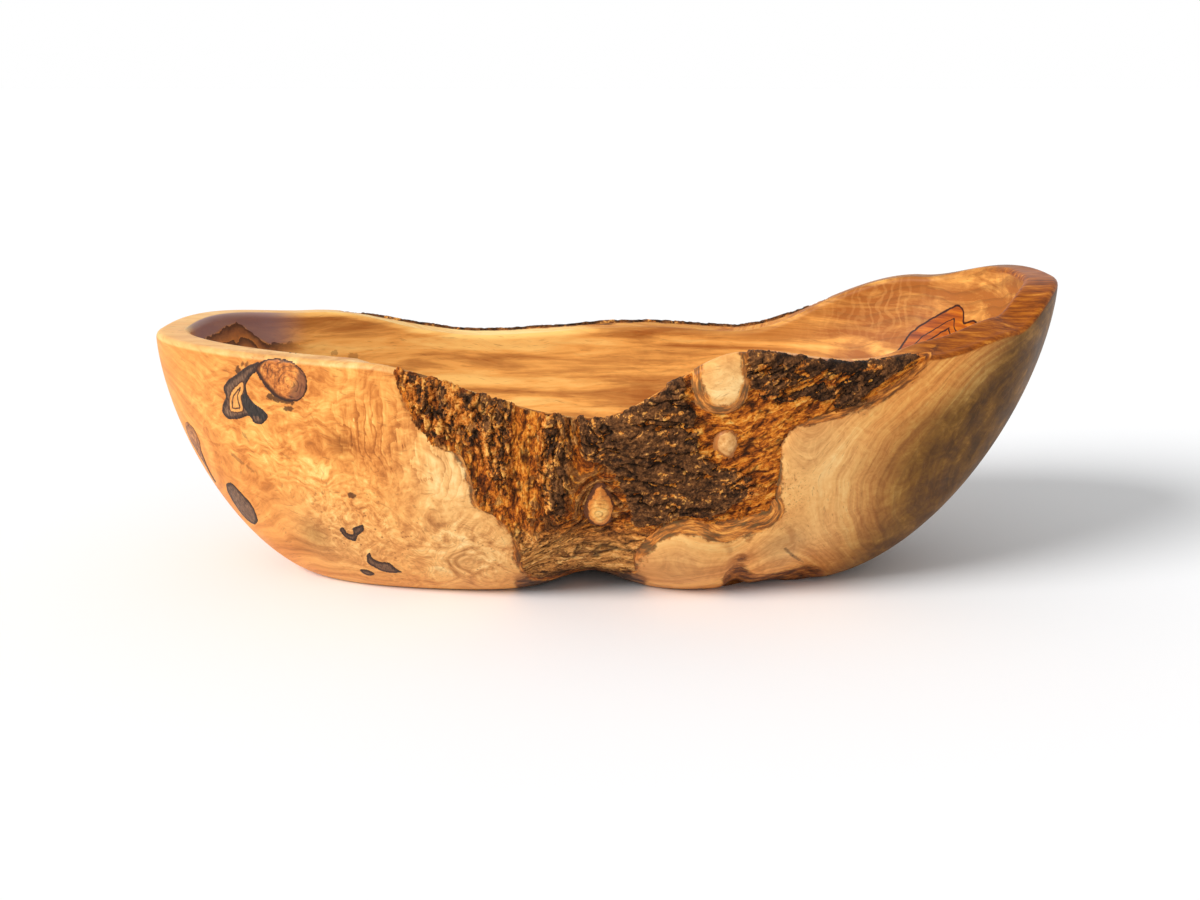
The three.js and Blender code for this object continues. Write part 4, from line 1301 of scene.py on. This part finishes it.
def make_bowl(material):
    grid, middles, first_skin, last_rim = bowl_grid()
    first_rim = first_skin + BODY_COURSES
    row = np.broadcast_to(np.arange(grid.shape[1]), grid.shape[:2])
    over_rim = np.where(row < first_rim, 0.0, row_lengths(grid, first_rim))
    edge = np.minimum(side_distance(grid, FRONT_ZONE, True, over_rim),
                      side_distance(grid, REAR_ZONE, False, over_rim))
    moved = carved(grid, edge, (row > first_skin) & (row < last_rim))
    bowl = mesh_object("bowl_wood", np.vstack([moved.reshape(-1, 3), middles]), bowl_faces(*grid.shape[:2]))
    shade_smooth(bowl)
    inside = row >= last_rim
    rim = ((row > first_rim) & (row < last_rim + ROUNDED_ROWS)).astype(float)
    for name, values in bowl_layers(grid, edge, inside, rim).items():
        flat = values.ravel()
        set_attribute(bowl, name, np.concatenate([flat, flat[:1], flat[-1:]]))
    bowl.data.materials.append(material)
    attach(bowl, "root")
    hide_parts("bowl_body")


make_bowl(olive_wood())


# Bark: relief that follows the skin, ragged at its edge

CHIP_LENGTH = 2.0                       # length of a chip of bark for its width
BARK_REACH, BARK_DEPTH = 2.4, 3.0       # how far past its outline a sheet of bark is cut, and its thickness
LOWEST_COURSE = 5                       # courses next to the foot that no sheet covers
FRONT_SPAN, REAR_SPAN = (236, 313), (54, 128)       # degrees round the bowl
INNER_STEP, INNER_COURSES = 0.19, 190
PLATE_STEP, PLATE_COURSES = 0.13, 280
INNER_REAR_STEP, PLATE_REAR_STEP = INNER_STEP * 1.2, PLATE_STEP * 1.5
SHEET_BENDS, SHEET_ACROSS = 6, 8        # rows round the rim's edge and across its top

# Fibres of the front: where they are counted from, where they turn level, and where they rise again
FIBRE_MIDDLE, FIBRE_TURN = (-7, 68), (-18, 2)
LOW_FIBRE, LOW_PULL, RISE_FROM, FIBRE_RISE = 40, 1.1, 50, 0.45

# Knots in the bark: rings of fibre (along, up, reach, start and share), and beds (as the swellings, but sunk)
KNOT_SPOTS = [(-2, 46, 8, -28, 0.55), (46, 71, 6, -3, 0.3)]
KNOT_BEDS = [(-2, 46, 6, 11, 1.6), (46, 71, 5, 6.5, 0.9)]
KNOT_SQUASH = 0.75                      # a step up counts less, so the rings of fibre stand tall

# Where the bark has come away to bright wood, and along its bright lip: along, up, reach and strength
AMBER_SPOTS = [
    (-76, 92, 8, 0.15), (-50, 66, 9, 0.2), (-35, 41, 9, 0.2), (-31, 54, 7, 0.17), (-29, 68, 8, 0.14),
    (-29, 80, 6, 0.22), (46, 80, 8, 0.25), (58, 64, 10, 0.25), (60, 84, 9, 0.3), (64, 52, 8, 0.25),
    (66, 74, 9, 0.25)]
LIP_SPOTS = [(84, 84, 7, 0.3), (98, 89, 6, 0.35), (112, 97, 6, 0.35), (122, 104, 6, 0.35)]

RELIEF_INPUTS = {
    "Proud": 1.0, "Undercut": 1.5, "Bevel": 1.0, "Ragged": 1.0, "Ragged size": 4.0, "Hold": 9.0, "Lump": 0.8,
    "Lump size": 12.0, "Layer": 0.0, "Layer size": 9.0, "Crumb": 0.5, "Crumb size": 2.0, "Stretch": 1.0,
    "Crack": 1.0, "Crack size": 9.0, "Chip": 0.0, "Chip size": 2.5, "Seed": 0.0}
INNER_SIZES = {
    "Proud": -0.3, "Undercut": 2.4, "Bevel": 1.2, "Ragged": 4.4, "Ragged size": 5.0, "Hold": 9.0, "Lump": 0.9,
    "Lump size": 12.0, "Layer": 0.5, "Layer size": 5.0, "Crumb": 0.8, "Crumb size": 2.0, "Stretch": 3.0,
    "Crack": 0.6, "Crack size": 7.0, "Chip": 0.5, "Chip size": 2.4, "Seed": 1.0}
INNER_REAR_SIZES = {**INNER_SIZES, "Seed": 7.0}
PLATE_SIZES = {
    "Proud": 0.9, "Undercut": 2.0, "Bevel": 1.6, "Ragged": 6.5, "Ragged size": 5.0, "Hold": 4.2, "Lump": 0.8,
    "Lump size": 13.0, "Layer": 0.6, "Layer size": 5.0, "Crumb": 1.2, "Crumb size": 2.0, "Stretch": 2.2,
    "Crack": 1.1, "Crack size": 9.0, "Chip": 0.9, "Chip size": 2.6, "Seed": 2.0}
FINE_BARK = {
    "Chip": 0.28, "Chip size": 1.2, "Lump": 0.6, "Layer": 0.4, "Crumb": 0.8, "Crumb size": 1.3,
    "Stretch": 3.6, "Crack": 1.5, "Crack size": 6.0}
LONG_BARK = {"Chip": 0.7, "Chip size": 2.2, "Layer": 0.9, "Layer size": 6.0, "Stretch": 3.6}
REAR_SIZES = {**PLATE_SIZES, "Proud": 0.3, "Lump": 0.5, "Crumb": 0.8, "Ragged": 3.0, "Hold": 5.0,
              "Chip": 0.6, "Seed": 8.0}

# Front plates: outline, how far each is grown past it, its own sizes and its seed
PLATES = {
    "left": (PLATE_LEFT, 0.0, {}, 2.0), "middle": (PLATE_MIDDLE, 0.0, {}, 3.0),
    "centre": (PLATE_CENTRE, 0.0, FINE_BARK, 4.0), "right": (PLATE_RIGHT, 1.5, LONG_BARK, 5.0)}


def stored(tree, name, kind="FLOAT"):
    """A point layer of the sheet that a tree works on."""
    return add(tree, "GeometryNodeInputNamedAttribute", {"Name": name}, data_type=kind).outputs["Attribute"]


def by(tree, given, value, size):
    return calc(tree, "MULTIPLY", value, given[size])


def swing(tree, given, place, size, detail, rough):
    """Noise from about -1 to 1, with lumps of one of the given sizes."""
    value = noise(tree, place, calc(tree, "DIVIDE", 1.0, given[size]), detail, rough)[0]
    return calc(tree, "MULTIPLY", calc(tree, "SUBTRACT", value, 0.5), 2.0)


def bark_chips(tree, given, place, fibre):
    """Each chip's own value, and how chips stand up or down with gaps between them."""
    flat = joined(tree, fibre[0], calc(tree, "DIVIDE", fibre[1], CHIP_LENGTH), given["Seed"])
    cell = {"Vector": drifted(tree, place, 2.5, 3.0, 2.2, flat),
            "Scale": calc(tree, "DIVIDE", 1.0, given["Chip size"])}
    chip = split(tree, add(tree, "ShaderNodeTexVoronoi", cell).outputs["Color"])[0]
    gap = add(tree, "ShaderNodeTexVoronoi", cell, feature="DISTANCE_TO_EDGE").outputs["Distance"]
    return chip, calc(tree, "SUBTRACT", calc(tree, "SUBTRACT", chip, 0.5), ramped(tree, gap, 0.1, 0.0))


def bark_surface(tree, given, place, grain, chips):
    """Relief of lumps, layers, crumbs, chips and cracks, and the cracks alone."""
    lump = by(tree, given, swing(tree, given, place, "Lump size", 3.0, 0.55), "Lump")
    stepped = swing(tree, given, grain, "Layer size", 3.0, 0.6)
    steps = calc(tree, "ADD", ramped(tree, stepped, -0.14, -0.08), ramped(tree, stepped, 0.1, 0.16))
    terrace = by(tree, given, calc(tree, "SUBTRACT", steps, 1.0), "Layer")
    crumb = by(tree, given, swing(tree, given, grain, "Crumb size", 5.0, 0.7), "Crumb")
    thread = calc(tree, "ABSOLUTE", swing(tree, given, grain, "Crack size", 2.0, 0.5))
    crack = ramped(tree, thread, 0.06, 0.0)
    fine = calc(tree, "ADD", crumb, by(tree, given, chips, "Chip"))
    rough = calc(tree, "ADD", calc(tree, "ADD", lump, terrace), fine)
    rough = calc(tree, "SUBTRACT", rough, by(tree, given, crack, "Crack"))
    return calc(tree, "MULTIPLY", rough, stored(tree, "rough")), crack


def bark_height(tree, given, edge, relief):
    """How far each point stands out: full inside the ragged edge, sunk into the wood past it."""
    cover = ramped(tree, edge, by(tree, given, 0.5, "Bevel"), by(tree, given, -1.0, "Bevel"))
    full = calc(tree, "ADD", given["Proud"], calc(tree, "ADD", relief, stored(tree, "dome")))
    fall = by(tree, given, -1.0, "Undercut")
    height = calc(tree, "MULTIPLY_ADD", calc(tree, "SUBTRACT", full, fall), cover, fall)
    return calc(tree, "MULTIPLY", calc(tree, "MULTIPLY", height, stored(tree, "lift")), MM)


def bark_relief_tree():
    inputs = [("Geometry", "NodeSocketGeometry", None)]
    inputs += [(name, "NodeSocketFloat", default) for name, default in RELIEF_INPUTS.items()]
    inputs.append(("Material", "NodeSocketMaterial", None))
    outputs = [("Geometry", "NodeSocketGeometry")]
    tree, given, result = new_group("bark_relief", "GeometryNodeTree", inputs, outputs)
    place = scaled(tree, add(tree, "GeometryNodeInputPosition").outputs[0], 1 / MM)
    place = vector_calc(tree, "ADD", place, joined(tree, by(tree, given, 37.0, "Seed"), 0.0, 0.0))
    fibre = split(tree, stored(tree, "fibre", "FLOAT_VECTOR"))
    wander = swing(tree, given, place, "Lump size", 2.0, 0.5)
    along = calc(tree, "DIVIDE", fibre[1], given["Stretch"])
    grain = joined(tree, calc(tree, "MULTIPLY_ADD", wander, 3.0, fibre[0]), along, given["Seed"])
    held = calc(tree, "MAXIMUM", stored(tree, "edge"), by(tree, given, -1.0, "Hold"))
    ragged = by(tree, given, swing(tree, given, grain, "Ragged size", 4.0, 0.65), "Ragged")
    edge = calc(tree, "ADD", held, ragged)
    chip, chips = bark_chips(tree, given, place, fibre)
    relief, crack = bark_surface(tree, given, place, grain, chips)
    move = scaled(tree, stored(tree, "outward", "FLOAT_VECTOR"), bark_height(tree, given, edge, relief))
    shape = add(tree, "GeometryNodeSetPosition", {"Geometry": given["Geometry"], "Offset": move}).outputs[0]
    for name, value in (("relief", relief), ("crack", crack), ("edge", edge), ("chip", chip)):
        kept = add(tree, "GeometryNodeStoreNamedAttribute", {"Geometry": shape, "Name": name, "Value": value},
                   data_type="FLOAT", domain="POINT")
        shape = kept.outputs[0]
    real = add(tree, "GeometryNodeRealizeInstances", {"Geometry": shape}).outputs[0]
    dressed = add(tree, "GeometryNodeSetMaterial", {"Geometry": real, "Material": given["Material"]})
    tree.links.new(dressed.outputs[0], result["Geometry"])
    return tree


BARK_RELIEF = bark_relief_tree()


def front_fibre(points):
    """Across and along the fibres: upright left of the waist, level low in it, rising to the right."""
    x, _, z = axes(points)
    level = smooth(*FIBRE_TURN, x + LOW_PULL * np.maximum(LOW_FIBRE - z, 0))
    side, up = x - FIBRE_MIDDLE[0], z - FIBRE_MIDDLE[1]
    across = (1 - level) * side + level * (up - FIBRE_RISE * np.maximum(x - RISE_FROM, 0))
    along = (1 - level) * up - level * side
    for middle_x, middle_z, reach, start, share in KNOT_SPOTS:
        away = np.hypot(x - middle_x, (z - middle_z) * KNOT_SQUASH)
        across = across + (away + start - across) * share * np.exp(-(away / reach) ** 4)
    return np.stack([across, along, np.zeros_like(x)], -1)


def rear_fibre(points):
    return np.stack([points[..., 2], points[..., 0], np.zeros_like(points[..., 0])], -1)


def knot_bed(points):
    """How far the bark gives way to the knots that come up through it."""
    return np.where(points[..., 1] < 0, -mounds(points, KNOT_BEDS), 0.0)


def eased_over(over_rim):
    """Bark worn smoother towards the rim and where it turns in over it."""
    return 1 - 0.7 * smooth(-4.0, 2.0, over_rim)


def bark_grid(span, step, courses):
    """Fine grid over part of the skin, and how far past the rim's outer edge each point lies."""
    angle = np.radians(np.arange(*span, step))
    grid = outer_rows(angle, courses, SHEET_BENDS, SHEET_ACROSS)
    climb = row_lengths(grid, 0)
    return grid, climb - climb[:, courses:courses + 1]


def sheet(name, node, material, grid, edge, layers, sizes, depth=BARK_DEPTH, reach=BARK_REACH):
    """A piece of bark or knot over the skin, worked to its relief and put in its node's place."""
    close = edge < reach
    keep = close[:-1, :-1] & close[1:, :-1] & close[1:, 1:] & close[:-1, 1:]
    keep &= np.arange(grid.shape[1] - 1)[None, :] > LOWEST_COURSE
    piece = shell(name, grid, keep, depth, {"edge": edge, **layers})
    worked(piece, BARK_RELIEF, {**sizes, "Material": material})
    shade_smooth(piece)
    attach(piece, "root")
    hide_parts(node)


def make_inner_front(material):
    """Strings over the waist: dull low down, with a dark crust at its foot that is painted shadow, bare at
    the bright spots.
    """
    grid, over_rim = bark_grid(FRONT_SPAN, INNER_STEP, INNER_COURSES)
    edge = side_distance(grid, FRONT_ZONE, True, over_rim)
    x, _, z = axes(grid)
    in_waist = window(x, -42, -28, 10, 26)
    dull = smooth(40, 24, z) * in_waist
    bare = spotted(grid[..., [0, 2]], AMBER_SPOTS + LIP_SPOTS)
    crust = 0.06 * smooth(0, -20, x) - 0.08 * smooth(10, 40, x) - 0.11 * dull - bare
    # Painted shadow: a dark crust at the foot of the waist, under its arch
    crust += 0.2 * smooth(16, 6, z) * in_waist
    crust += 0.12 * bell(x + 2, 9) * bell(z - 50, 12)
    layers = {
        "fibre": front_fibre(grid), "dome": knot_bed(grid), "dull": dull, "crust": crust,
        "rough": eased_over(over_rim) * (1 - 0.5 * dull) * (1 - np.minimum(1.8 * bare, 0.6)),
        # foot: painted shadow at the foot of the waist
        "foot": 0.8 * smooth(14, 5, z) * window(x, -40, -26, 8, 24), "lip": 0.85 * smooth(80, 90, x)}
    sheet("inner_bark_waist", "inner_bark_front", material, grid, edge, layers, INNER_SIZES)


def make_inner_rear(material):
    grid, over_rim = bark_grid(REAR_SPAN, INNER_REAR_STEP, INNER_COURSES)
    edge = side_distance(grid, REAR_ZONE, False, over_rim)
    none = np.zeros_like(edge)
    layers = {"fibre": rear_fibre(grid), "dome": none, "dull": none + 0.4, "crust": none, "foot": none,
              "lip": none, "rough": eased_over(over_rim)}
    sheet("inner_bark_back", "inner_bark_rear", material, grid, edge, layers, INNER_REAR_SIZES)


def make_front_plates(material):
    """Plates of outer bark over the waist: rustier and lighter to the left, browner in the middle."""
    grid, over_rim = bark_grid(FRONT_SPAN, PLATE_STEP, PLATE_COURSES)
    x = grid[..., 0]
    amber = 0.02 * smooth(-14, -30, x) + 0.07 * smooth(-36, -56, x) - 0.055 * smooth(-14, 8, x)
    layers = {
        "fibre": front_fibre(grid), "dome": knot_bed(grid), "rough": eased_over(over_rim),
        "amber": amber + spotted(grid[..., [0, 2]], AMBER_SPOTS), "fringe": smooth(-8, -20, x),
        "light": 0.03 * smooth(0, -20, x) - 0.09 * smooth(50, 66, x)}
    for side, (outline, grown, own, seed) in PLATES.items():
        edge = side_distance(grid, outline, True, over_rim) - grown
        sheet(f"bark_{side}", f"bark_plate_{side}", material, grid, edge, layers,
              {**PLATE_SIZES, **own, "Seed": seed})


def make_rear_plate(material):
    grid, over_rim = bark_grid(REAR_SPAN, PLATE_REAR_STEP, PLATE_COURSES)
    edge = side_distance(grid, PLATE_REAR, False, over_rim)
    none = np.zeros_like(edge)
    layers = {"fibre": rear_fibre(grid), "dome": none, "amber": none - 0.05, "light": none, "fringe": none,
              "rough": eased_over(over_rim)}
    sheet("bark_back", "bark_plate_rear", material, grid, edge, layers, REAR_SIZES)


def make_bark(inner, outer):
    make_inner_front(inner)
    make_inner_rear(inner)
    make_front_plates(outer)
    make_rear_plate(outer)


make_bark(inner_bark(), outer_bark())


# Knots and ingrown bark, let into the skin

PLUG_STEP, PLUG_COURSES = 0.17, 300
PLUG_DEPTH, PLUG_REACH = 1.4, 1.4       # thickness, and how far past its outline one is cut
PLUG_SIZES = {
    "Proud": 0.12, "Undercut": 0.9, "Bevel": 0.35, "Ragged": 0.9, "Ragged size": 3.0, "Hold": 9.0,
    "Lump": 0.0, "Lump size": 6.0, "Layer": 0.0, "Layer size": 5.0, "Crumb": 0.1, "Crumb size": 1.5,
    "Stretch": 1.5, "Crack": 0.0, "Crack size": 6.0, "Chip": 0.0, "Chip size": 3.0, "Seed": 3.0}

# Knots' looks: the rings' heart, spacing and strength, the rim of bark, the wood, and a dark side or a glow;
# the bud's dark side is painted shade
KNOT_LOOKS = {
    "ringed_knot": {
        "heart": (2.2, 1.6), "spacing": 1.9, "lines": 0.7, "rim": (60, 34, 22), "rim_width": 2.2,
        "tones": [(0.15, 112, 56, 24), (0.4, 188, 108, 48), (0.6, 228, 142, 66), (0.85, 248, 174, 86)],
        "shade": (1.5, 118, 72, 50)},
    "brown_knot": {
        "heart": (0.0, 1.0), "spacing": 2.4, "lines": 0.5, "rim": (84, 48, 28), "rim_width": 1.0,
        "tones": [(0.15, 96, 56, 32), (0.4, 146, 90, 50), (0.65, 184, 118, 64), (0.9, 214, 150, 88)]},
    "drop_knot": {
        "heart": (0.4, -2.0), "spacing": 1.9, "lines": 0.45, "rim": (96, 50, 20), "rim_width": 0.7,
        "tones": [(0.1, 156, 90, 36), (0.35, 214, 138, 60), (0.58, 240, 174, 86), (0.9, 250, 206, 124)],
        "glow": (206, 118, 42)},
    # the bud's dark side is painted shade on the lower right of its dome
    "bud_knot": {
        "heart": (0.4, 0.0), "spacing": 4.0, "lines": 0.1, "rim": (176, 108, 50), "rim_width": 0.8,
        "tones": [(0.1, 160, 100, 48), (0.4, 202, 142, 78), (0.62, 222, 164, 96), (0.9, 240, 190, 124)],
        "shade": (2.2, 146, 88, 42)},
}
EAR_SHAPES = {"amber": EAR_AMBER, "black": EAR_BLACK}

# Node, slot, look, degrees round and share up the skin, reach in degrees, outline, dome and shapes within
PLUGS = [
    ("knot_round", "knot", "ringed_knot", (227.8, 0.908), 11, KNOT_ROUND, 0.0, {}),
    ("knot_side", "knot", "brown_knot", (198.2, 0.69), 14, KNOT_SIDE, 0.0, {}),
    ("knot_teardrop", "knot", "drop_knot", (270.1, 0.652), 6, KNOT_TEARDROP, 1.0, {}),
    ("knot_bud", "knot", "bud_knot", (284.6, 0.754), 6, KNOT_BUD, 1.2, {}),
    ("bark_pocket_loop", "bark_pocket", "ingrown_ear", (219.3, 0.858), 12, POCKET_EAR, 0.0, EAR_SHAPES),
    ("bark_pocket_oval", "bark_pocket", "ingrown_bark", (207.9, 0.501), 12, POCKET_OVAL, 0.0, {}),
    ("bark_pocket_upper", "bark_pocket", "ingrown_bark", (234.1, 0.455), 12, POCKET_UPPER, 0.0, {}),
    ("bark_pocket_lower", "bark_pocket", "ingrown_bark", (238.7, 0.328), 12, POCKET_LOWER, 0.0, {}),
    ("bark_pocket_small", "bark_pocket", "ingrown_bark", (235.0, 0.256), 12, POCKET_SMALL, 0.0, {}),
]


def plug_patch(degrees, climb, reach):
    """Fine grid round a place on the skin, with each point's own across and upslope distance."""
    angle = np.radians(np.arange(degrees - reach, degrees + reach, PLUG_STEP))
    grid = outer_rows(angle, PLUG_COURSES, SHEET_BENDS, SHEET_ACROSS)
    at = (len(angle) // 2, round(climb * PLUG_COURSES))
    normal = grid_normals(grid, False)[at]
    across = np.cross((0, 0, 1), normal)
    across /= np.linalg.norm(across)
    away = grid - grid[at]
    spot = np.stack([away @ across, away @ np.cross(normal, across), np.zeros(grid.shape[:2])], -1)
    return grid, spot


def distance_on(spot, outline):
    return outline_distance(spot.reshape(-1, 3)[:, :2], closed_spline(outline)).reshape(spot.shape[:2])


def make_plug(node, slot, material, place, reach, outline, dome, shapes):
    grid, spot = plug_patch(*place, reach)
    edge = distance_on(spot, outline)
    domed = dome * smooth(0.5, -4.0, edge)
    layers = {"fibre": spot, "spot": spot, "dome": domed, "rough": np.ones_like(edge)}
    for name, shape in shapes.items():
        layers[name] = distance_on(spot, shape)
    sheet(f"{node}_face", node, material, grid, edge, layers, PLUG_SIZES, PLUG_DEPTH, PLUG_REACH)


def make_plugs():
    looks = {name: ringed_knot(name, **look) for name, look in KNOT_LOOKS.items()}
    looks["ingrown_bark"] = pocket_bark("ingrown_bark", False)
    looks["ingrown_ear"] = pocket_bark("ingrown_ear", True)
    for node, slot, look, *rest in PLUGS:
        make_plug(node, slot, looks[look], *rest)


make_plugs()


# Studio: pale floor, a broad soft key from the left front, and white all round

FLOOR_CORNERS = [(-6000, -3000, 0), (6000, -3000, 0), (6000, 9000, 0), (-6000, 9000, 0)]
FLOOR_CLOUD = 400.0
KEY_PLACE, KEY_SPREAD, KEY_STRENGTH = (-1200, -800, 950), 28, 2.9
ROUND_LIGHT, SEEN_WHITE = 0.55, 1.0     # how bright the surroundings are as light, and as seen


def make_floor():
    material, tree, surface = new_material("pale_floor", 0.85, 0.3)
    cloud = mottle(tree, object_mm(tree), FLOOR_CLOUD)
    feed(tree, surface["Base Color"], coloured(tree, cloud, PALE_FLOOR))
    floor = mesh_object("floor", FLOOR_CORNERS, [(0, 1, 2, 3)])
    floor.data.materials.append(material)


def make_key():
    data = bpy.data.lights.new("window_key", "SUN")
    data.angle, data.energy = math.radians(KEY_SPREAD), KEY_STRENGTH
    aimed(bpy.data.objects.new("window_key", data), KEY_PLACE, (0, 0, 0))


def make_world():
    """Even white light, and plain white wherever the camera or a reflection sees past the floor."""
    world = bpy.data.worlds.new("studio")
    world.use_nodes = True
    tree = world.node_tree
    path = add(tree, "ShaderNodeLightPath").outputs
    seen = calc(tree, "MAXIMUM", path["Is Camera Ray"], path["Is Glossy Ray"])
    seen = calc(tree, "MAXIMUM", seen, path["Is Transmission Ray"])
    background = tree.nodes["Background"].inputs
    background["Color"].default_value = (1, 1, 1, 1)
    feed(tree, background["Strength"], ramped(tree, seen, 0.0, 1.0, ROUND_LIGHT, SEEN_WHITE))
    bpy.context.scene.world = world


make_floor()
make_key()
make_world()
bpy.context.scene.view_settings.view_transform = "Standard"
